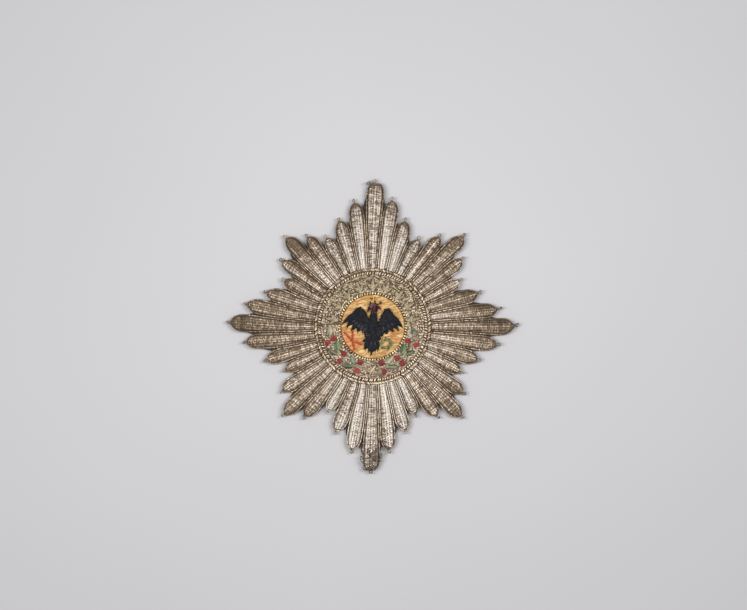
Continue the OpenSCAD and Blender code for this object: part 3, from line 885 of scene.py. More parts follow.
print("a crossing every", THREAD_PITCH, "mm")

# %% [markdown]
# ## Strings and dips
# Under the silver lie strings of padding, so a crossing rises over each string and sinks between
# them. It also dips where a stitch holds it down, in a loose brick pattern, and those dark dots
# are what the eye reads as embroidery. The dots could be drawn in the material, but only a real dip
# catches the light at its edge. So every thread gets its height from the strings, in pairs of a
# higher and a lower one, and from the dips.

# %% Strings and dips
# Columns: share of the way from the edge to the ridge, share of the ridge height.
ARCH = ((0, 0.16, 0.52, 1), (0, 0.55, 0.9, 1))
STRING_PITCH = 0.84
STRING_RELIEF = 0.2
PAIR_RELIEF = 0.16
DIP_DEEP = 0.3
# Width of a dip in mm at the root and at the tip.
DIP_WIDE = (0.18, 0.29)
DIP_LEAST = 0.7
# How often a thread dips beside a string, on the places of the brick pattern and off them.
DIP_OFTEN = (0.85, 0.2)
# How much shallower the dips are on rays that point sideways, where the padding is softer.
SIDE_CALM = 0.15


def string_crests(place):
    """1 on top of a padding string, 0 in the valley between two."""
    valley = np.abs(place - np.round(place)) * 2
    return np.sqrt(np.clip(1 - valley ** 2, 0, 1))


def stitch_dips(row, place, luck):
    """How deep each thread dips beside the strings."""
    column = np.floor(place).astype(int)
    often = np.where((column + row["odd"][:, None]) % 2 == 0, *DIP_OFTEN)
    off_valley = (place - column - 0.5) * STRING_PITCH
    width = DIP_WIDE[0] + (DIP_WIDE[1] - DIP_WIDE[0]) * row["out"][:, None]
    dips = np.exp(-(off_valley / width) ** 2) * (luck < often)
    dips = dips * chance.uniform(DIP_LEAST, 1, (len(place), 1))
    return dips * (1 - SIDE_CALM * np.abs(unit(row["middle"])[:, :1]))


print("padding strings lie", STRING_PITCH, "mm apart")

# %% [markdown]
# ## Threads over the padding
# Now the crossings are laid as closed threads over the ray's arch. The relief alone would look too
# clean. So painted shade darkens the valleys and dips, a painted highlight brightens the ridge on top
# of its rubbed wear, and a painted glint brightens the flank that faces away to the side on the rays
# near the top and the bottom. Painted light also brightens both flanks of rays that point sideways.

# %% Threads over the padding
THREAD_R = 0.19
CROSS_STEP = 0.17
# A thread stops this far short of the cord: in mm, and as a share of the padding's width.
GROOVE_W = (0.06, 0.1)
# From this ridge height in mm the relief is full.
FULL_RISE = 0.9
# Painted shade in the valleys between the strings.
VALLEY_DARK = 0.42
# How unlike the threads of a ray are.
ALIKE = 0.3
# How much lighter the ridge is, as rubbed wear and a painted highlight, and how far from it in mm.
RIDGE_RUB_AND_HIGHLIGHT = 0.42
RIDGE_W = 0.33
# Painted glint on the flank that faces away to the side, and painted light on both flanks of a
# sideways ray.
OUTER_FLANK_GLINT = 0.8
SIDE_FLANK_LIGHT = 0.5


def cross_threads(heap, ray, row):
    """Lays some crossings of a ray that are about equally wide."""
    middle, rise, line = row["middle"], row["rise"][:, None], unit(row["right"])[:, None, :]
    core = [np.linalg.norm(row[side], axis=1)[:, None] for side in ("left", "right")]
    steps = 2 * int(math.ceil(max(part.max() for part in core) / CROSS_STEP)) + 1
    reach = np.linspace(-1, 1, steps)
    padding = np.where(reach < 0, *core)
    share = reach * (1 - (GROOVE_W[0] + GROOVE_W[1] * padding) / padding)
    across = padding * share
    sides = np.where((reach < 0)[:, None], row["left"][:, None, :], row["right"][:, None, :])
    plan = middle[:, None, :] + np.abs(share)[..., None] * sides

    place = across / STRING_PITCH + 0.5 * (ray["number"] % 2)
    first = len(ray["streaks"]) // 2
    luck = chance.random((len(middle), len(ray["streaks"])))
    luck = np.take_along_axis(luck, np.floor(place).astype(int) + first, axis=1)
    dips, strings = stitch_dips(row, place, luck), string_crests(place)
    arch = smooth_through(*ARCH, 1 - np.abs(share))
    full = arch * np.clip(rise / FULL_RISE, 0, 1)
    pairs = np.cos(math.pi * (place + ray["number"] % 3))
    relief = STRING_RELIEF * (strings - 1) + PAIR_RELIEF * pairs - DIP_DEEP * dips
    height = ray["base"] + np.maximum(rise, 0.05) * arch + (THREAD_R * 0.5 + full * relief)
    slope = np.gradient(height, axis=1) / np.maximum(np.gradient(across, axis=1), 1e-3)
    ups = unit(np.dstack([-slope[..., None] * line, np.ones_like(slope)]))

    # The darkening is full on the flank that faces up, fades over the ridge and breaks from stitch
    # to stitch.
    stained = np.clip(0.4 + 1.6 * share * line[..., 1], 0, 1) * row["stain"][:, None] * (0.4 + 0.6 * luck)
    sideways = unit(middle)[:, None, 0]
    # Painted shade in the dips and valleys; the darker flank and dim worn threads darken it further.
    shade = (1 - full * (dips + VALLEY_DARK * (1 - strings))) * (1 - DARK_FLANK_DEPTH * stained)
    aged = row["tarnish"][:, None] + DARK_FLANK_AGED * stained
    # Painted glint on the flank that faces away to the side.
    aged = aged - OUTER_FLANK_GLINT * (sideways * share * line[..., 0] * row["out"][:, None])
    # String streaks: rubbed wear and painted highlights along the strings.
    aged = aged + ray["streaks"][np.round(place).astype(int) + first]
    aged = aged + ray["flecks"] * (luck - 0.5) * full
    # Painted highlight along the ridge, on top of its rubbed wear.
    aged = aged - RIDGE_RUB_AND_HIGHLIGHT * np.exp(-(across / RIDGE_W) ** 2)
    # Painted light on both flanks of rays that point sideways.
    aged = aged - SIDE_FLANK_LIGHT * share ** 2 * sideways ** 2
    lay_threads(heap, np.dstack([plan, height]), ups, THREAD_R, aged=aged,
                shade=shade * row["dim"][:, None], vary=ALIKE)


print("a crossing is", 2 * THREAD_R, "mm thick")

# %% [markdown]
# ## The cord round a ray
# A purl cord is sewn round each ray, up one side, over the nose and down the other, and hides the
# turns of the silver thread. It could follow an outline drawn by hand, but the two feet of the
# sections give the same line. It takes its ray's tarnish and painted light. On rays that point
# sideways or aslant it is lighter, painted light for cords that lie in shade between the ridges,
# and it is duller round the nose.

# %% The cord round a ray
CORD_PITCH = 0.48
CORD_RISE = 0.2
# How much duller the cord is than its ray, on rays that point sideways, aslant and upright; the
# values below zero are painted light.
CORD_DULL_AND_LIGHT = (-0.2, -0.3, 0)
CORD_DULL_TIP = 0.35
NOSE_DULL = 0.45
# From this share of the way out the nose is dull.
NOSE_FROM = 0.8
CORD_ODD = 0.3


def edge_cord(heap, name, number):
    guide = guides[name]
    run = path_length(guide["ridge"])
    edge = np.concatenate([guide["left"], guide["right"][::-1]])
    inner = np.concatenate([guide["ridge"], guide["ridge"][::-1]])
    inset = np.minimum(CORD_D / 2, 0.9 * np.linalg.norm(inner - edge, axis=1))
    cord = edge + unit(inner - edge) * inset[:, None]
    bend = path_length(cord)
    places = np.arange(0.1, bend[-1], CORD_PITCH)
    spots = smooth_through(bend, cord, places)
    way = np.column_stack([unit(np.gradient(spots, axis=0)), np.zeros(len(spots))])
    spots = np.column_stack([spots, np.full(len(spots), guide["low"] + 0.5 * CORD_D + CORD_RISE)])

    share_out = np.interp(places, bend, np.concatenate([run, run[::-1]])) / run[-1]
    upright = unit(guide["ridge"][-1])[1] ** 2
    faces_up = np.clip(smooth_through(bend, unit(edge - inner)[:, 1], places), 0, 1)
    worn_l, _, _, dark = WORN_TIPS.get(name, NOT_WORN)
    aged = ray_tarnish(number, share_out)
    aged = aged + DARK_FLANK_AGED * faces_up * (share_out > DARK_FLANK_PART[0]) * (name in DARK_FLANK_RAYS)
    aged = aged + 0.5 * (share_out > 1 - 0.5 * worn_l / run[-1]) * (dark > 0.4)
    # Painted light on the cords of rays that point sideways or aslant.
    aged = aged + np.interp(upright, (0, 0.5, 1), CORD_DULL_AND_LIGHT) + CORD_DULL_TIP * upright * share_out ** 2
    aged = aged + NOSE_DULL * np.clip((share_out - NOSE_FROM) / (1 - NOSE_FROM), 0, 1)
    aged = aged + chance.normal(0, CORD_ODD, len(spots))
    set_beads(heap, purl_bead, spots, way, UP, (CORD_D / 2 * 1.02, CORD_PITCH * 0.56, CORD_D / 2 * 1.05),
              paint=1, aged=aged, jitter=0.12)


print("a bead of the cord every", CORD_PITCH, "mm")

# %% [markdown]
# ## Covering the rays
# Forty rays are covered in turn. One ray could be made and turned round the centre, but the rays
# differ in length, lean and wear. Each ray has a seed of its own for its chance values, so a change
# to one leaves the others as they are. Crossings of about the same width are laid together, with as
# many steps as they need. Rays that point up or down are greyer.

# %% Covering the rays
FIRST_SEED = 500
# Crossings are gathered by width in steps of this many mm, and left out where they are too short.
WIDTH_STEP = 0.4
LEAST_WIDTH = 0.2
GREY_UPRIGHT = 0.75


def cover_ray(name, number):
    heap = Heap()
    ray, row = ray_crossings(name, number)
    narrow = np.minimum(*(np.linalg.norm(row[side], axis=1) for side in ("left", "right")))
    sizes = np.ceil(narrow / WIDTH_STEP).astype(int)
    for size in np.unique(sizes[narrow > LEAST_WIDTH]):
        some = (sizes == size) & (narrow > LEAST_WIDTH)
        cross_threads(heap, ray, {label: values[some] for label, values in row.items()})
    edge_cord(heap, name, number)
    upright = unit(guides[name]["ridge"][-1])[1] ** 2
    silver = "grey_silver" if upright > GREY_UPRIGHT else "silver_thread"
    piece = make_piece("laid_" + name, heap, (silver, "silver_cord"))
    refinish(name, "padding")
    return piece


ray_pieces = []
for number, name in enumerate(RAYS):
    chance = np.random.default_rng(FIRST_SEED + number)
    ray_pieces.append(cover_ray(name, number))
print("threads and cords on the rays:", triangles(*ray_pieces), "triangles")

# %% [markdown]
# ## Measures of the medallion
# The medallion is a disc of silk, a beaded cord round it, a silver band and two more cords. Their
# sizes could be typed in again, but read back from the frame they always agree with the solids.
# Places are given as a bearing clockwise from the top and a radius, as an embroiderer would mark
# them on the card.

# %% Measures of the medallion
def box_mm(name):
    low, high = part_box(name)
    return np.array(low) / MM, np.array(high) / MM


def ring_cord(name):
    """Radius of a laid ring, half the thickness of its cord, and the height of its middle."""
    low, high = box_mm(name)
    cord = (high[2] - low[2]) / 2
    return high[0] - cord, cord, (low[2] + high[2]) / 2


def at_bearing(bearing, radius, height=0.0):
    turn = np.radians(np.asarray(bearing, float))
    return np.stack(np.broadcast_arrays(radius * np.sin(turn), radius * np.cos(turn), height), axis=-1)


DISC_R = box_mm("medallion_ground")[1][0]
FACE_Z = box_mm("medallion_ground")[1][2]
WORK_Z = box_mm("eagle")[0][2]
BAND_IN = ring_cord("inner_border")[0] + ring_cord("inner_border")[1]
BAND_OUT = ring_cord("outer_border")[0] - ring_cord("outer_border")[1]
print("silk ground radius", round(DISC_R, 2), "band", round(BAND_IN, 2), "to", round(BAND_OUT, 2))

# %% [markdown]
# ## Stitches of the silk ground
# The ground is worked in long and short stitches of floss that rise a little to the right. Equal
# stitches would be quicker, but their ends would line up in seams. So each row is filled from edge
# to edge with stitches of chance length, each starts where the one before ends, and each leans and
# rises a little differently.

# %% Stitches of the silk ground
SILK_PITCH = 0.15
SILK_R = 0.1
SILK_STITCH = (1.2, 2.6)
SILK_SHORTEST = 0.3
# The slope of all rows and the lean of single stitches, in degrees.
SILK_TURN = 14
SILK_LEAN = 4
SILK_BOW = 0.05
SILK_UNEVEN = 0.02


def silk_rows():
    """Where the stitches start, and how long they are, in rows that aren't turned yet."""
    starts, lengths = [], []
    for row in np.arange(-DISC_R + 0.12, DISC_R - 0.1, SILK_PITCH):
        reach = math.sqrt(max((DISC_R - 0.08) ** 2 - row ** 2, 0))
        place = -reach
        while place < reach:
            length = min(chance.uniform(*SILK_STITCH), reach - place)
            starts.append((place, row))
            lengths.append(max(length, SILK_SHORTEST))
            place += length
    return np.array(starts), np.array(lengths)[:, None]


def silk_stitches():
    """Paths of the stitches, and the middle of each along and across the rows."""
    starts, lengths = silk_rows()
    lean = np.radians(chance.normal(0, SILK_LEAN, len(starts)))
    steps = np.linspace(0, 1, 5)
    u = starts[:, :1] + lengths * steps
    v = starts[:, 1:] + 0.25 * lengths * np.sin(lean)[:, None] * (steps - 0.5)
    uneven = chance.uniform(-SILK_UNEVEN, SILK_UNEVEN, (len(starts), 1))
    z = FACE_Z - 0.02 + SILK_BOW * np.sin(math.pi * steps) + uneven
    turn = math.radians(SILK_TURN)
    x, y = u * math.cos(turn) - v * math.sin(turn), u * math.sin(turn) + v * math.cos(turn)
    return np.stack(np.broadcast_arrays(x, y, z), axis=-1), u[:, 2], v[:, 2]


print("a stitch row every", SILK_PITCH, "mm")

# %% [markdown]
# ## The yellow silk
# The floss came from several skeins, so the yellow lies in light and dark streaks, and orange is
# mixed in here and there, most of all in the lower left under the red strokes. The colour could be
# one smooth noise over the disc, but a needleful of floss keeps its shade for a whole streak. So a
# table of chance values gives each streak one age and one dye.

# %% The yellow silk
STREAK_W = 0.36
STREAK_L = 0.95
STREAKS_MOST = 120
# How far each row of streaks starts beside the one before.
STREAK_SHIFT = 0.37
# Age of the silk, and how much it differs from streak to streak and from stitch to stitch.
SILK_AGED = 0.66
STREAK_ODD, STITCH_ODD = 0.32, 0.18
ORANGE_LEAST = 0.05
# Where orange is mixed in: x, y and reach in mm, share of the streaks.
ORANGE_AT = [(-6.8, -4.6, 4.2, 0.95), (7.4, -2.8, 3.0, 0.55), (-5.0, 7.0, 2.4, 0.25), (3.8, 7.4, 2.0, 0.2)]


def streak_of(along, across):
    """Two whole numbers that are the same within one streak of floss."""
    row = np.floor((across + DISC_R) / STREAK_W).astype(int)
    return row, np.floor((along + DISC_R) / STREAK_L + STREAK_SHIFT * row % 7).astype(int)


def lay_silk():
    heap = Heap()
    paths, along, across = silk_stitches()
    orange_share = np.full(len(paths), ORANGE_LEAST)
    for at_x, at_y, reach, share in ORANGE_AT:
        away = np.hypot(paths[:, 2, 0] - at_x, paths[:, 2, 1] - at_y) / reach
        orange_share = np.maximum(orange_share, share * np.clip(1.6 - 1.4 * away, 0, 1))
    streak = streak_of(along, across)
    table = (int(2 * DISC_R / STREAK_W) + 2, STREAKS_MOST)
    orange = chance.random(table)[streak] < orange_share
    aged = SILK_AGED + chance.normal(0, STREAK_ODD, table)[streak] + chance.normal(0, STITCH_ODD, len(paths))
    for paint, some in ((0, ~orange), (1, orange)):
        lay_threads(heap, paths[some], UP, SILK_R, paint=paint, aged=aged[some][:, None])
    piece = make_piece("silk_stitches", heap, ("yellow_silk", "peach_silk"))
    return piece


silk = lay_silk()
refinish("medallion_ground", "silk_felt")
print("silk stitches:", triangles(silk), "triangles")

# %% [markdown]
# ## The silver band
# The band is filled with short cuts of purl, tiny tubes of coiled silver wire that are sewn down
# like beads. Spread by chance alone they would pile up in places and leave holes. So they are set
# in rings, close together, and each is then shifted and turned a little. Towards the top the silver
# has gone olive.

# %% The silver band
CHIP_L = 0.85
CHIP_R = 0.15
# Distance between two rings of chips in mm.
CHIP_GAP = 0.29
# How far a chip is shifted in mm, how far it is turned in degrees, and its length as a share.
CHIP_SHIFT, CHIP_TURN = 0.04, 16
CHIP_CUT = (0.75, 1.05)
CHIP_BEND = 0.16
CHIP_AGED, CHIP_ODD = 0.42, 0.55
# A chip is olive where its place and its luck together pass the last number.
OLIVE_UP, OLIVE_LUCK, OLIVE_FROM = 0.4, 0.35, 0.12


def lay_chips():
    heap = Heap()
    places, turns = [], []
    for radius in np.arange(BAND_IN + 0.1, BAND_OUT - 0.05, CHIP_GAP):
        count = int(2 * math.pi * radius / CHIP_L)
        first = chance.uniform(0, 360)
        for i in range(count):
            bearing = first + 360 * i / count
            places.append(at_bearing(bearing, radius + chance.normal(0, CHIP_SHIFT)))
            turns.append(bearing + 90 + chance.normal(0, CHIP_TURN))
    places, turns = np.array(places), np.array(turns)
    steps = np.linspace(-0.5, 0.5, 4)
    length = CHIP_L * chance.uniform(*CHIP_CUT, len(places))
    paths = places[:, None, :] + at_bearing(turns, 1.0)[:, None, :] * (length[:, None] * steps)[..., None]
    paths[..., 2] = FACE_Z + 0.05 + chance.uniform(0, 0.09, (len(places), 1)) - CHIP_BEND * steps ** 2
    upwards = np.cos(np.radians(turns - 90))
    aged = CHIP_AGED + 0.06 * upwards + chance.normal(0, CHIP_ODD, len(places))
    olive = OLIVE_UP * upwards + chance.normal(0, OLIVE_LUCK, len(places)) > OLIVE_FROM
    for paint, some in ((0, ~olive), (1, olive)):
        lay_threads(heap, paths[some], UP, CHIP_R, paint=paint, sides=5, aged=aged[some][:, None])
    piece = make_piece("purl_chips", heap, ("ring_purl", "ring_olive"))
    return piece


chips = lay_chips()
refinish("ring_ground", "ring_felt")
print("purl chips:", triangles(chips), "triangles")

# %% [markdown]
# ## Borders and cords
# A beaded border is a coil of stiff bright wire over a dark core, and the core paints the shade that
# shows between the turns. A ring of round beads would look like it from afar, but the turns of a coil
# climb over the core and lean along it, and that slant shows. So each turn is a short thread laid over
# the core. The gilt cord outside has closer turns that lean the other way, and it is browner at the
# top.

# %% Borders and cords
# A turn's way over the core, in degrees from straight up.
TOOTH_OVER = np.radians(np.linspace(-75, 75, 6))
CORE_POINTS = 180
# How far a turn is shifted in degrees, and how thick it is as a share.
TOOTH_SHIFT = 0.35
TOOTH_THICK = (0.88, 1.08)
# Age of a turn, and what is added to it at a number of places round the cord.
TOOTH_AGED = 0.25
PATCHES_ROUND = 25
PATCH_AGED = (-0.25, 0.35)
# Columns: number of turns, their radius and lean in mm, finish, slot, how much browner at the top,
# how much the turns differ.
CORDS = {
    "inner_border": (78, 0.25, 0.12, "golden_purl", "border_purl", 0.1, 0.25),
    "outer_border": (132, 0.26, 0.14, "border_purl", "border_purl", 0.1, 0.25),
    "gilt_cord": (216, 0.2, -0.3, "gilt_cord", "gilt_cord", 0.5, 0.6),
}


def purl_ring(name, teeth, tooth_r, lean, finish, slot, browner, uneven):
    radius, cord, middle = ring_cord(name)
    heap = Heap()
    core = at_bearing(np.linspace(0, 360, CORE_POINTS, endpoint=False), radius, middle - 0.25 * cord)
    # The dark core is painted shade between the turns, all in the crevice colour.
    lay_threads(heap, core[None], UP, 0.7 * cord, sides=6, shade=0.0, closed=True)
    bearings = np.linspace(0, 360, teeth, endpoint=False) + chance.normal(0, TOOTH_SHIFT, teeth)
    across = (cord - 0.4 * tooth_r) * np.sin(TOOTH_OVER)
    climb = (cord - tooth_r) * np.cos(TOOTH_OVER)
    along = np.degrees(lean * np.sin(TOOTH_OVER) / radius)
    paths = at_bearing(bearings[:, None] + along, radius + across, middle + climb)
    ups = at_bearing(bearings[:, None], np.sin(TOOTH_OVER), np.cos(TOOTH_OVER))
    thick = tooth_r * chance.uniform(*TOOTH_THICK, (teeth, 1))
    patches = chance.uniform(*PATCH_AGED, PATCHES_ROUND)
    patches = np.interp(bearings, np.linspace(0, 360, PATCHES_ROUND), patches)
    aged = TOOTH_AGED + patches + chance.normal(0, uneven, teeth) + browner * np.cos(np.radians(bearings))
    lay_threads(heap, paths, ups, thick, sides=6, aged=aged[:, None])
    return make_piece(name + "_purl", heap, (finish,), replaces=(name,))


borders = [purl_ring(name, *row) for name, row in CORDS.items()]
print("borders and cord:", [triangles(piece) for piece in borders])

# %% [markdown]
# ## Padding under the eagle
# The eagle is cut in steps and padded. The stitches could lie on the solid's steps as they are, but
# silk over padding has no steps. So the solid is probed from above on a grid of heights, the grid
# is softened as padding would round it, and a stitch reads its height between the grid's points.

# %% Padding under the eagle
# Distance between two points of the grid in mm.
CELL = 0.2
GRID = np.arange(-DISC_R, DISC_R + CELL, CELL)


def solid_heights(name):
    """Heights of a CAD node's upper side over its foot on the grid, 0 beside it."""
    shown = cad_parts[name]
    corners = [(shown.matrix_world @ v.co) / MM for v in shown.data.vertices]
    tree = BVHTree.FromPolygons(corners, [list(face.vertices) for face in shown.data.polygons])
    heights = np.zeros((len(GRID), len(GRID)))
    for i, x in enumerate(GRID):
        for j, y in enumerate(GRID):
            hit = tree.ray_cast(Vector((x, y, 10)), Vector((0, 0, -1)))[0]
            heights[i, j] = hit.z - WORK_Z if hit else 0
    return heights


def soften(heights, times):
    for _ in range(times):
        for axis in (0, 1):
            heights = (np.roll(heights, 1, axis) + 2 * heights + np.roll(heights, -1, axis)) / 4
    return heights


def read_grid(heights, x, y):
    """Height between the grid's points."""
    i, j = (np.clip((place - GRID[0]) / CELL, 0, len(GRID) - 2.001) for place in (x, y))
    i0, j0 = i.astype(int), j.astype(int)
    di, dj = i - i0, j - j0
    low = heights[i0, j0] * (1 - dj) + heights[i0, j0 + 1] * dj
    high = heights[i0 + 1, j0] * (1 - dj) + heights[i0 + 1, j0 + 1] * dj
    return low * (1 - di) + high * di


eagle_solid = solid_heights("eagle")
print("the eagle rises", round(float(eagle_solid.max()), 2), "mm over the silk")

# %% [markdown]
# ## The black eagle
# The eagle is covered with black floss. Stitches that all run one way would make it a flat shape.
# These fan out from a point over the head, so they run down the neck, along the wing feathers and
# into the tail. Along the edge they reach out over the silk by uneven lengths, in a browner black,
# and a few thin grey threads paint glints between the feathers.

# %% The black eagle
STITCHES = 2300
EAGLE_R = 0.085
FAN_FROM = np.array([0.02, 0.9]) * DISC_R
FAN_ODD = 7
FEATHER_STITCH = (0.7, 1.25)
# Lower than this is no feather, and the softened edge is lower than EDGE_LOW.
FEATHER_LOW = 0.44
EDGE_LOW = 0.3
EDGE_OUT = 0.32
FEATHER_DEGREES = 8
# Thin grey threads that paint glints between the feathers: start x, start y, end x, end y in mm.
GLINTS = [
    (-4.9, 2.2, -6.3, 1.5), (-4.2, 1.7, -5.6, 0.8), (-3.6, 1.2, -4.8, 0.1), (-2.9, 0.3, -3.9, -0.9),
    (-2.2, -0.4, -3.0, -1.7), (3.1, 0.2, 3.6, -1.0), (4.3, 0.9, 5.0, 0.0), (5.6, 1.2, 6.4, 0.3),
    (-1.0, 0.2, -1.4, -1.4), (1.3, -0.3, 1.6, -1.7), (-0.4, -4.4, -0.6, -5.9), (0.6, -4.6, 0.9, -5.8),
    (-3.9, 0.4, -4.3, -0.2), (-3.2, -0.6, -3.6, -1.2), (-2.6, -1.4, -3.0, -2.0), (-1.7, -1.8, -2.1, -2.5),
    (-1.2, -2.4, -1.6, -3.1), (1.2, -1.8, 1.5, -2.5), (2.1, -1.3, 2.5, -2.1), (3.0, -1.0, 3.4, -1.7),
]


def eagle_seeds():
    """Places of the stitches, spread by chance over the feathers but not over the head."""
    seeds = chance.uniform(-DISC_R, DISC_R, (STITCHES * 6, 2))
    inside = read_grid(eagle_solid, *seeds.T) > FEATHER_LOW
    below_head = seeds[:, 1] < 0.5 * DISC_R + 3 * np.abs(seeds[:, 0] / DISC_R)
    return seeds[inside & below_head][:STITCHES]


def cover_eagle():
    heap = Heap()
    padding = soften(eagle_solid, 2)
    seeds = eagle_seeds()
    fan = np.degrees(np.arctan2(*(seeds - FAN_FROM).T)) + chance.normal(0, FAN_ODD, len(seeds))
    way = at_bearing(fan, 1.0)[:, :2]
    length = chance.uniform(*FEATHER_STITCH, len(seeds))
    steps = np.linspace(-0.5, 0.5, 5)
    edge = read_grid(soften(eagle_solid, 4), *seeds.T) < EDGE_LOW
    out = edge * chance.uniform(0, 2 * EDGE_OUT, len(seeds))
    plan = seeds[:, None, :] + way[:, None, :] * (length[:, None] * steps + out[:, None])[..., None]
    ground = read_grid(padding, plan[..., 0], plan[..., 1])
    lift = np.minimum(ground, padding.max()) + 0.05 * (1 - 4 * steps ** 2) + 0.05
    paths = np.dstack([plan, WORK_Z + lift])
    feather = 0.5 + 0.5 * np.sin(np.radians(fan) * 360 / FEATHER_DEGREES)
    for paint, some in ((0, ~edge), (1, edge)):
        aged = feather[some] + chance.normal(0, 0.25, some.sum())
        lay_threads(heap, paths[some], UP, EAGLE_R, paint=paint, aged=aged[:, None])
    # Grey threads that paint glints between the feathers.
    straight_threads(heap, GLINTS, WORK_Z + 0.62, 0.06, 2, bow=0.08)
    return make_piece("eagle_stitches", heap, ("black_silk", "brown_black_silk", "glint_silk"))


eagle = cover_eagle()
refinish("eagle", "black_silk")
print("eagle:", triangles(eagle), "triangles")

# %% [markdown]
# ## Head, beak and crest
# The head is worked over the black in dusty pink in front and dark plum behind, with a dark beak, a
# dark eye and hooked crest feathers. At this size it is some twenty stitches, each of which
# matters. They could be placed by chance, as on the body, but then there would be no face. So they
# are listed one by one by their two ends.

# %% Head, beak and crest
# Columns: start x, start y, end x, end y in mm from the star's centre.
PINK_THREADS = [
    (-0.7, 5.9, -0.4, 6.9), (-0.35, 5.6, -0.05, 7.1), (0.0, 6.1, 0.25, 7.2), (0.55, 6.5, 0.75, 7.0),
]
PLUM_THREADS = [
    (0.1, 4.9, 0.45, 6.3), (0.4, 5.6, 0.65, 7.3), (0.5, 4.8, 0.95, 7.15), (0.8, 4.9, 1.2, 6.8),
    (-0.3, 4.8, 0.05, 5.9),
]
NECK_THREADS = [(0.0, 3.6, -0.1, 5.0), (0.7, 3.6, 0.8, 5.1), (0.35, 3.4, 0.35, 4.6)]
BEAK_AND_CREST = [
    (-0.9, 6.3, -1.35, 5.6), (-1.35, 5.6, -1.25, 4.95), (-0.95, 6.0, -1.2, 5.2), (1.3, 6.4, 2.1, 6.2),
    (1.9, 6.3, 2.45, 5.6), (1.4, 6.9, 2.2, 7.1), (2.1, 7.1, 2.9, 7.5), (2.2, 7.3, 2.5, 7.9),
    (0.1, 6.65, 0.45, 6.75), (-0.9, 6.9, -0.5, 7.4), (0.75, 7.4, 1.2, 7.2), (1.2, 5.5, 1.45, 6.2),
]
EYE = [(-0.2, 6.3, 0.0, 6.9)]
TOP_Z = box_mm("eagle")[1][2]
HEAD_FINISHES = ("head_silk", "brown_black_silk", "plum_silk")
# Columns: threads, height and radius in mm, number of the finish, rise in the middle in mm.
HEAD_WORK = (
    (PINK_THREADS, TOP_Z - 0.18, 0.14, 0, 0.12), (PLUM_THREADS, TOP_Z - 0.2, 0.15, 2, 0.12),
    (NECK_THREADS, TOP_Z - 0.25, 0.07, 0, 0.1), (BEAK_AND_CREST, WORK_Z + 0.45, 0.16, 1, 0.15),
    (EYE, TOP_Z, 0.08, 1, 0.12),
)


def make_head():
    heap = Heap()
    for row in HEAD_WORK:
        straight_threads(heap, *row)
    return make_piece("eagle_head", heap, HEAD_FINISHES)


head = make_head()
print("head:", triangles(head), "triangles")

# %% [markdown]
# ## The crown
# The crown is a few small gold beads, some bright and some brown: a band, three arches and a cross.
# A little metal crown could be modelled whole, but the real one is sewn from beads, and their gaps
# show. So one bead is copied to each place.

# %% The crown
CROWN_BEAD = (0.26, 0.26, 0.22)
CROWN_BEADS = [
    (-1.15, 7.35), (-0.75, 7.62), (-0.3, 7.82), (0.2, 7.9), (0.7, 7.84), (1.15, 7.62),
    (-1.3, 7.95), (-0.95, 8.45), (-0.5, 8.7), (0.3, 8.35), (0.35, 8.8), (0.35, 9.15),
    (0.0, 8.85), (0.7, 8.85), (1.0, 8.62), (1.35, 8.05),
]
CROWN_AGES = [-0.2, -0.1, 1.3]


def make_crown():
    heap = Heap()
    places = np.array([(x, y, WORK_Z + 0.2) for x, y in CROWN_BEADS])
    set_beads(heap, round_bead, places, (0, 1, 0), UP, CROWN_BEAD, jitter=0.25,
              aged=chance.choice(CROWN_AGES, len(places)))
    return make_piece("crown_beads", heap, ("crown_gold",), replaces=("crown",))


crown = make_crown()
print("crown:", len(CROWN_BEADS), "beads,", triangles(crown), "triangles")

# %% [markdown]
# ## Red strokes
# The strokes under the left claw are two red threads couched side by side with an orange one. One
# thick red cord would be simpler, but the three threads shine apart and close up at the end of a
# stroke, where the needle goes down.

# %% Red strokes
# Columns: start x, start y, end x, end y in shares of the silk ground's radius.
RED_STROKES = [
    (-0.9, -0.17, -0.64, -0.44), (-0.63, -0.12, -0.63, -0.46), (-0.64, -0.4, -0.57, -0.74),
    (-0.54, -0.48, -0.35, -0.58), (-0.42, -0.5, -0.35, -0.58),
]
STROKE_HALF = 0.16
STROKE_R = 0.15


def make_strokes():
    heap = Heap()
    for row in RED_STROKES:
        start, end = np.array(row).reshape(2, 2) * DISC_R
        beside = unit(np.array([-(end - start)[1], (end - start)[0]])) * STROKE_HALF
        for share, paint in ((-1, 0), (0, 1), (1, 0)):
            ends = [(start + share * beside, end + share * beside * 0.5)]
            straight_threads(heap, ends, WORK_Z + 0.1, STROKE_R, paint)
    finishes = ("red_silk", "orange_silk")
    return make_piece("red_stroke_threads", heap, finishes, replaces=("lightning",))


strokes = make_strokes()
print("red strokes:", triangles(strokes), "triangles")

# %% [markdown]
# ## The small wreath
# The wreath under the right claw is a loose ring of small leaves, olive, yellow and dark green, and
# grey-green at its upper right. Each leaf could be cut as a flat shape, but at this size one short
# fat stitch reads as a leaf. The stitches go round the ring in three rows and point every way.

# %% The small wreath
WREATH_LEAVES = 100
WREATH_W = 0.45
WREATH_ROWS = 0.32
# Half the length of a leaf in mm.
WREATH_HALF = (0.14, 0.3)
WREATH_FINISHES = ("olive_silk", "teal_silk", "green_silk", "dark_green_silk", "yellow_silk")
# Numbers of the finishes, one of which is drawn for each leaf, and where every other is grey-green.
WREATH_DRAWN = [0, 0, 2, 3, 3, 4]
GREY_FROM, GREY_TO = 10, 100


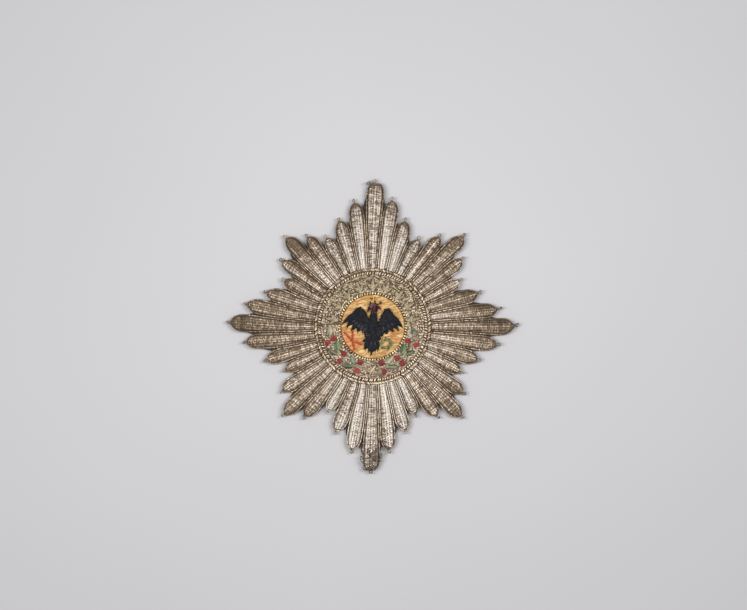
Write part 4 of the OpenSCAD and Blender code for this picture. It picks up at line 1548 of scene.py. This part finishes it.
def make_wreath():
    heap = Heap()
    low, high = box_mm("wreath")
    middle = ((low + high) / 2)[:2]
    radius = (high[0] - low[0]) / 2 - WREATH_W
    for i in range(WREATH_LEAVES):
        bearing = 360 * i / WREATH_LEAVES + chance.normal(0, 4)
        out = radius + WREATH_ROWS * ((i % 3) - 1) + chance.normal(0, 0.06)
        place = middle + at_bearing(bearing, out)[:2]
        way = at_bearing(bearing + 60 + chance.normal(0, 40), chance.uniform(*WREATH_HALF))[:2]
        grey = GREY_FROM < bearing < GREY_TO and chance.random() < 0.5
        paint = 1 if grey else int(chance.choice(WREATH_DRAWN))
        straight_threads(heap, [(place - way, place + way)], WORK_Z + 0.12, 0.13, paint, bow=0.25)
    return make_piece("wreath_leaves", heap, WREATH_FINISHES, replaces=("wreath",))


wreath = make_wreath()
print("wreath:", WREATH_LEAVES, "leaves,", triangles(wreath), "triangles")

# %% [markdown]
# ## A leaf in satin stitch
# A leaf or a petal is satin stitch in two halves that meet along its middle. A smooth leaf with a
# bump texture would be lighter, but the light moves over real stitches as they turn down at the
# edge. So each stitch is laid from the middle to the edge, slants towards the tip, and ends a
# little unevenly.

# %% A leaf in satin stitch
LEAF_PITCH = 0.17
# How far along a stitch its points lie, 0 on the midrib and 1 at the edge.
SATIN_STEPS = np.array([0.0, 0.35, 0.75, 1.0])
RAGGED = 0.12
SATIN_ODD = 0.4


def satin_petal(heap, root, tip, width, rise, slant, paint, tones, radius=0.1, pitch=LEAF_PITCH, groove=0.25):
    """Satin stitch between a root and a tip on the plan; groove is how much lower the midrib is."""
    length = np.linalg.norm(tip - root)
    way = (tip - root) / length
    aside = np.array([-way[1], way[0]])
    at = np.arange(0.06 * length, 0.97 * length, pitch) / length
    for side, tone in zip((-1, 1), tones):
        ragged = 1 + chance.normal(0, RAGGED, (len(at), 1)) * (SATIN_STEPS > 0.9)
        foot = np.clip(at[:, None] + slant * SATIN_STEPS, 0, 1)
        half = width / 2 * np.sin(math.pi * foot) ** 0.8
        reach = (half * SATIN_STEPS * ragged)[..., None]
        plan = root + way * (foot * length)[..., None] + aside * side * reach
        over = np.sqrt(np.clip(1 - SATIN_STEPS ** 3, 0.03, 1))
        rises = WORK_Z + rise * (1 - groove * (SATIN_STEPS == 0)) * over
        paths = np.dstack([plan, rises * np.ones((len(at), 1))])
        aged = tone + chance.normal(0, SATIN_ODD, (len(at), 1))
        lay_threads(heap, paths, UP, radius, paint=paint, aged=aged)


def on_band(bearing, place, height=0.0):
    """A place on the silver band, 0 at its inner edge and 1 at its outer edge."""
    return at_bearing(bearing, BAND_IN + place * (BAND_OUT - BAND_IN), height)


print("a stitch of a leaf every", LEAF_PITCH, "mm")

# %% [markdown]
# ## The two branches
# Each branch is a stem of two twisted strands with five leaves and six berries on short stalks. One
# leaf could be copied ten times, but on the star they differ in size, turn and dye. So a table
# gives the place, turn, length and dye of each. A pale midrib is laid over the middle of every
# leaf.

# %% The two branches
# Columns: bearing, place across the band, turn of the tip from the way out, length in mm, dye.
LEAVES = {
    "branch_right": [
        (98, 0.42, -63, 2.1, "teal"), (125.5, 0.62, -60, 3.1, "dark"), (127, 0.22, -108, 3.5, "green"),
        (153.5, 0.6, -63, 3.9, "dark"), (152.5, 0.16, -106, 3.1, "pale"),
    ],
    "branch_left": [
        (211.5, 0.68, 60, 4.1, "dark"), (211.5, 0.26, 128, 2.7, "teal"), (236.5, 0.72, 59, 3.2, "dark"),
        (242, 0.32, 112, 3.4, "green"), (264, 0.48, 90, 2.9, "pale"),
    ],
}
LEAF_W = {"dark": 1.55, "teal": 1.8, "green": 2.1, "pale": 1.6}
DYES = list(LEAF_W)
BRANCH_FINISHES = ("dark_green_silk", "teal_silk", "green_silk", "pale_green_silk", "stem_silk")
STEM_PAINT = BRANCH_FINISHES.index("stem_silk")
LEAF_RISE = 0.4
LEAF_SLANT = 0.16
# Age of the two halves of a leaf.
LEAF_TONES = (0.1, 0.85)
# First and last bearing of a stem, and how far a stalk starts from its berry, in degrees.
STEMS = {"branch_right": (104, 176, 5), "branch_left": (184, 246, -5)}
# Columns: bearing, place across the band.
BERRIES = [
    (112.8, 0.7), (111.9, 0.22), (140.9, 0.7), (142.8, 0.29), (165.9, 0.7), (167, 0.2),
    (200, 0.7), (200, 0.21), (223.8, 0.73), (226.6, 0.29), (250.6, 0.75), (252.8, 0.36),
]


def lay_leaf(heap, bearing, place, turn, length, dye):
    middle = on_band(bearing, place)[:2]
    half = at_bearing(bearing + turn, length / 2)[:2]
    satin_petal(heap, middle - half, middle + half, LEAF_W[dye], LEAF_RISE, LEAF_SLANT,
                DYES.index(dye), LEAF_TONES)
    rib = [(middle - half * 1.05, middle + half * 0.8)]
    straight_threads(heap, rib, WORK_Z + 0.8 * LEAF_RISE, 0.1, DYES.index("pale"), bow=0.1)


def make_branch(name):
    heap = Heap()
    for row in LEAVES[name]:
        lay_leaf(heap, *row)
    low, high, back = STEMS[name]
    bearings = np.linspace(low, high, 40)
    sway = 0.5 + 0.03 * np.sin(np.radians(bearings) * 9)
    for beside in (-0.09, 0.09):
        stem = on_band(bearings, sway, WORK_Z + 0.14) + at_bearing(bearings, beside)
        lay_threads(heap, stem[None], UP, 0.1, paint=STEM_PAINT, sides=5, aged=0.4)
    for bearing, place in BERRIES:
        if low < bearing < high:
            stalk = [(on_band(bearing + back, 0.5)[:2], on_band(bearing, place)[:2])]
            straight_threads(heap, stalk, WORK_Z + 0.1, 0.09, STEM_PAINT, bow=0.1)
    return make_piece(name + "_silk", heap, BRANCH_FINISHES, replaces=(name,))


branches = [make_branch(name) for name in LEAVES]
print("branches:", triangles(*branches), "triangles")

# %% [markdown]
# ## The berries
# A berry is a thick knot of red silk. A sphere would look like a bead, and a knot has turns. So a
# cord winds in from the rim to the top in two turns, over a small dark ring that fills the middle.
# The ring and the darker last turns paint the shade in the knot's middle.

# %% The berries
BERRY_R = 0.96
BERRY_TURNS = 2.2
BERRY_RISE = 0.55
BERRY_CORD = 0.25


def make_berries():
    heap = Heap()
    share = np.linspace(0, 1, 30)
    for bearing, place in BERRIES:
        centre = on_band(bearing, place)
        winds = np.degrees(share * 2 * math.pi * BERRY_TURNS) + chance.uniform(0, 360)
        size = BERRY_R * chance.uniform(0.92, 1.04)
        radius = (size - 0.22) * (1 - share) ** 0.75 + 0.04
        coil = centre + at_bearing(winds, radius, WORK_Z + 0.2 + BERRY_RISE * share ** 0.8)
        mottled = chance.uniform(0.1, 0.7) + chance.normal(0, 0.25, (1, len(share)))
        # The last turns darken towards the middle of the knot: painted shade.
        shade = (1 - 0.35 * share ** 4)[None]
        lay_threads(heap, coil[None], UP, BERRY_CORD, sides=6, aged=mottled, shade=shade)
        # A dark ring fills the middle of the knot: painted shade.
        core = (centre + at_bearing(np.linspace(0, 360, 8, endpoint=False), 0.25, WORK_Z + 0.25))[None]
        lay_threads(heap, core, UP, 0.3, sides=6, shade=0.2, closed=True)
    return make_piece("berry_knots", heap, ("berry_silk",), replaces=("berries",))


berries = make_berries()
print("berries:", triangles(berries), "triangles")

# %% [markdown]
# ## The tie
# The stems are tied with two crossed bars of gold purl. Each could be one thick bar, but purl comes
# in thin lengths that are laid side by side, so each bar is three threads, and the second bar lies
# over the first.

# %% The tie
TIE_L = 3.4
TIE_TURN = 35
TIE_PURL = 0.12
TIE_GAP = 0.17
TIE_OVER = 0.2


def make_tie():
    heap = Heap()
    middle = on_band(180, 0.5)[:2]
    for turn, over in ((-TIE_TURN, 0), (TIE_TURN, TIE_OVER)):
        half = at_bearing(turn, TIE_L / 2)[:2]
        aside = at_bearing(turn + 90, TIE_GAP)[:2]
        for beside in (-1, 0, 1):
            ends = [(middle - half + beside * aside, middle + half + beside * aside)]
            straight_threads(heap, ends, WORK_Z + 0.15 + over, TIE_PURL, 0, bow=0.2)
    return make_piece("tie_purl", heap, ("gold_purl",), replaces=("branch_tie",))


tie = make_tie()
print("tie:", triangles(tie), "triangles")

# %% [markdown]
# ## The palmettes
# In the upper half of the band stand nine palmettes of three petals. They could be cut from gilt
# sheet, but the rest of the band is embroidered. So each petal is filled with satin stitch and
# outlined with a thin dark cord, and a small coil covers the place where the three meet.

# %% The palmettes
PALMETTES = 9
PALMETTE_SPREAD = 80
PALMETTE_ROOT = 0.14
PALMETTE_L = 3.6
PETAL_W = 1.1
PETAL_RISE = 0.38
PETAL_SLANT = 0.04
PETAL_TONES = (0.15, 0.7)
PETAL_THREAD = 0.11
PETAL_PITCH = 0.22
SIDE_PETAL = 0.68
SIDE_TURN = 36
# Turns of the coil in degrees, and its radius in mm.
BOSS_WINDS = 700
BOSS_R = 0.42


def outline_petal(heap, root, tip, width, paint):
    share = np.linspace(0, 1, 14)
    way = tip - root
    aside = unit(np.array([-way[1], way[0]]))
    half = (0.5 * width + 0.06) * np.sin(math.pi * share) ** 0.7
    for side in (-1, 1):
        plan = root + way * share[:, None] + aside * (side * half)[:, None]
        path = np.column_stack([plan, np.full(len(share), WORK_Z + 0.12)])
        lay_threads(heap, path[None], UP, 0.15, paint=paint, sides=5, aged=0.6)


def make_palmettes():
    heap = Heap()
    for bearing in np.linspace(-PALMETTE_SPREAD, PALMETTE_SPREAD, PALMETTES):
        root = on_band(bearing, PALMETTE_ROOT)[:2]
        for turn, share in ((-SIDE_TURN, SIDE_PETAL), (SIDE_TURN, SIDE_PETAL), (0, 1)):
            tip = root + at_bearing(bearing + turn, PALMETTE_L * share)[:2]
            satin_petal(heap, root, tip, PETAL_W, PETAL_RISE, PETAL_SLANT, 0, PETAL_TONES,
                        radius=PETAL_THREAD, pitch=PETAL_PITCH, groove=0)
            outline_petal(heap, root, tip, PETAL_W, 1)
        winds = np.linspace(0, BOSS_WINDS, 26)
        coil = at_bearing(winds, BOSS_R * (1 - winds / 760), WORK_Z + 0.16 + winds / 3000)
        lay_threads(heap, (np.append(root, 0) + coil)[None], UP, 0.14, paint=0, sides=5, aged=0.3)
    return make_piece("palmette_purl", heap, ("gold_purl", "dark_cord"), replaces=("palmettes",))


ornament = make_palmettes()
print("palmettes:", triangles(ornament), "triangles")

# %% [markdown]
# ## A loop of wire
# Where the cord turns at a ray's nose, its wire springs out into a small open loop. A torus would
# be too perfect, since no two loops are alike: they are bent, half closed or doubled. So a loop is
# an uneven ring of small beads, and it closes up to two short tails that run back to the cord.

# %% A loop of wire
LOOP_BEAD = 0.22
LOOP_BEADS = 10
# Points of the wire within this many mm of a ray's end belong to its loop.
LOOP_NEAR = 2.2
# How bent a loop is, how far it rises and falls in mm, and how far its beads stray in mm.
LOOP_ODD, LOOP_WAVE, LOOP_STRAY = 0.25, 0.12, 0.05
# The two half widths of a tip's loop, as shares of the solid loop's radius.
LOOP_LONG, LOOP_WIDE = (0.9, 1.12), (0.5, 1.0)
TAIL_R = 0.16


def bead_loop(heap, centre, way, long_r, wide_r, beads, aged):
    """An uneven ring of beads whose long way points along the unit vector given."""
    aside = np.array([way[1], -way[0]])
    turn = np.linspace(0, 2 * math.pi, beads, endpoint=False) + chance.uniform(0, 0.5)
    twist = chance.normal(0, LOOP_ODD)
    plan = (centre[:2] + way * (long_r * np.cos(turn))[:, None]
            + aside * (wide_r * np.sin(turn) + twist * wide_r * np.cos(turn))[:, None])
    height = centre[2] + LOOP_WAVE * np.sin(turn + chance.uniform(0, 6))
    places = np.column_stack([plan, height]) + chance.normal(0, LOOP_STRAY, (beads, 3))
    along = unit(np.roll(places, -1, axis=0) - np.roll(places, 1, axis=0))
    set_beads(heap, purl_bead, places, along, UP, (LOOP_BEAD, 0.2, LOOP_BEAD), jitter=0.25,
              aged=aged + chance.normal(0, 0.3, beads))


def tip_loop(heap, wire, end):
    """The loop at a ray's end, in the place of the CAD loop, and its two tails."""
    near = wire[np.linalg.norm(wire[:, :2] - end, axis=1) < LOOP_NEAR]
    centre = (near.min(axis=0) + near.max(axis=0)) / 2
    radius = (near[:, 0].max() - near[:, 0].min()) / 2 - LOOP_BEAD
    way = unit(centre[:2] - end)
    aside = np.array([way[1], -way[0]])
    long_r, wide_r = (radius * chance.uniform(*shares) for shares in (LOOP_LONG, LOOP_WIDE))
    bead_loop(heap, centre, way, long_r, wide_r, LOOP_BEADS, chance.uniform(0.1, 1.0))
    tail = np.linspace(0, 1, 4)[:, None]
    for side in (-1, 1):
        start = end - way * 0.5 + aside * side * 0.35
        stop = centre[:2] - way * radius + aside * side * 0.12
        path = np.column_stack([start + (stop - start) * tail, np.full(4, centre[2] + 0.1)])
        lay_threads(heap, path[None], UP, TAIL_R, sides=5, aged=0.6)
    return centre[2]


print("a wire loop has", LOOP_BEADS, "beads")

# %% [markdown]
# ## Loops and loose wire
# All forty tips get their loop where the solid has one. The wire has also come loose over the
# bottom tip and lies there in a tangle, and a few more loops lie beside the bottom and the top ray.
# A tangle could be one long bent wire, but small loops strewn over the end of the ray look the same
# and never cut into the padding.

# %% Loops and loose wire
# Columns: x, y, half length and half width in mm, bearing of the long way.
STRAY_LOOPS = [
    (-3.3, -41.5, 1.0, 0.45, 160), (-2.5, -43.7, 0.9, 0.5, 20), (0.5, -43.9, 0.8, 0.5, 60),
    (1.6, -41.6, 0.9, 0.4, 110), (2.5, -40.2, 0.7, 0.35, 10), (-0.9, -42.9, 0.8, 0.4, 130),
    (-1.3, 44.7, 0.6, 0.3, 50),
]
STRAY_BEADS = 13
STRAY_RISE = 0.45
TANGLE = 18
TANGLE_L = 7.0
TANGLE_BEADS = 7


def tangle(heap, name):
    """Loose loops strewn over the last stretch of a ray."""
    guide = guides[name]
    run = path_length(guide["ridge"])
    for at in run[-1] - TANGLE_L * chance.random(TANGLE) ** 1.3:
        share = chance.uniform(-0.8, 0.8)
        side = "left" if share < 0 else "right"
        middle, foot, height = (smooth_through(run, guide[key], [at])[0] for key in ("ridge", side, "height"))
        top = guide["low"] + (height - guide["low"]) * smooth_through(*ARCH, [1 - abs(share)])[0] + 0.35
        centre = np.append(middle + abs(share) * (foot - middle), max(top, guide["low"] + 0.8))
        bead_loop(heap, centre, at_bearing(chance.uniform(0, 360), 1.0)[:2], chance.uniform(0.3, 0.6),
                  chance.uniform(0.15, 0.35), TANGLE_BEADS, chance.uniform(0.3, 1.3))


def make_loops():
    heap = Heap()
    wire = node_points("tip_loops")
    heights = [tip_loop(heap, wire, guides[name]["ridge"][-1]) for name in RAYS]
    for x, y, long_r, wide_r, bearing in STRAY_LOOPS:
        centre = np.array([x, y, heights[0] + STRAY_RISE])
        bead_loop(heap, centre, at_bearing(bearing, 1.0)[:2], long_r, wide_r, STRAY_BEADS, 0.9)
    tangle(heap, "ray_20")
    return make_piece("wire_loops", heap, ("tarnished_wire",), replaces=("tip_loops",))


loops = make_loops()
print("loops:", triangles(loops), "triangles")
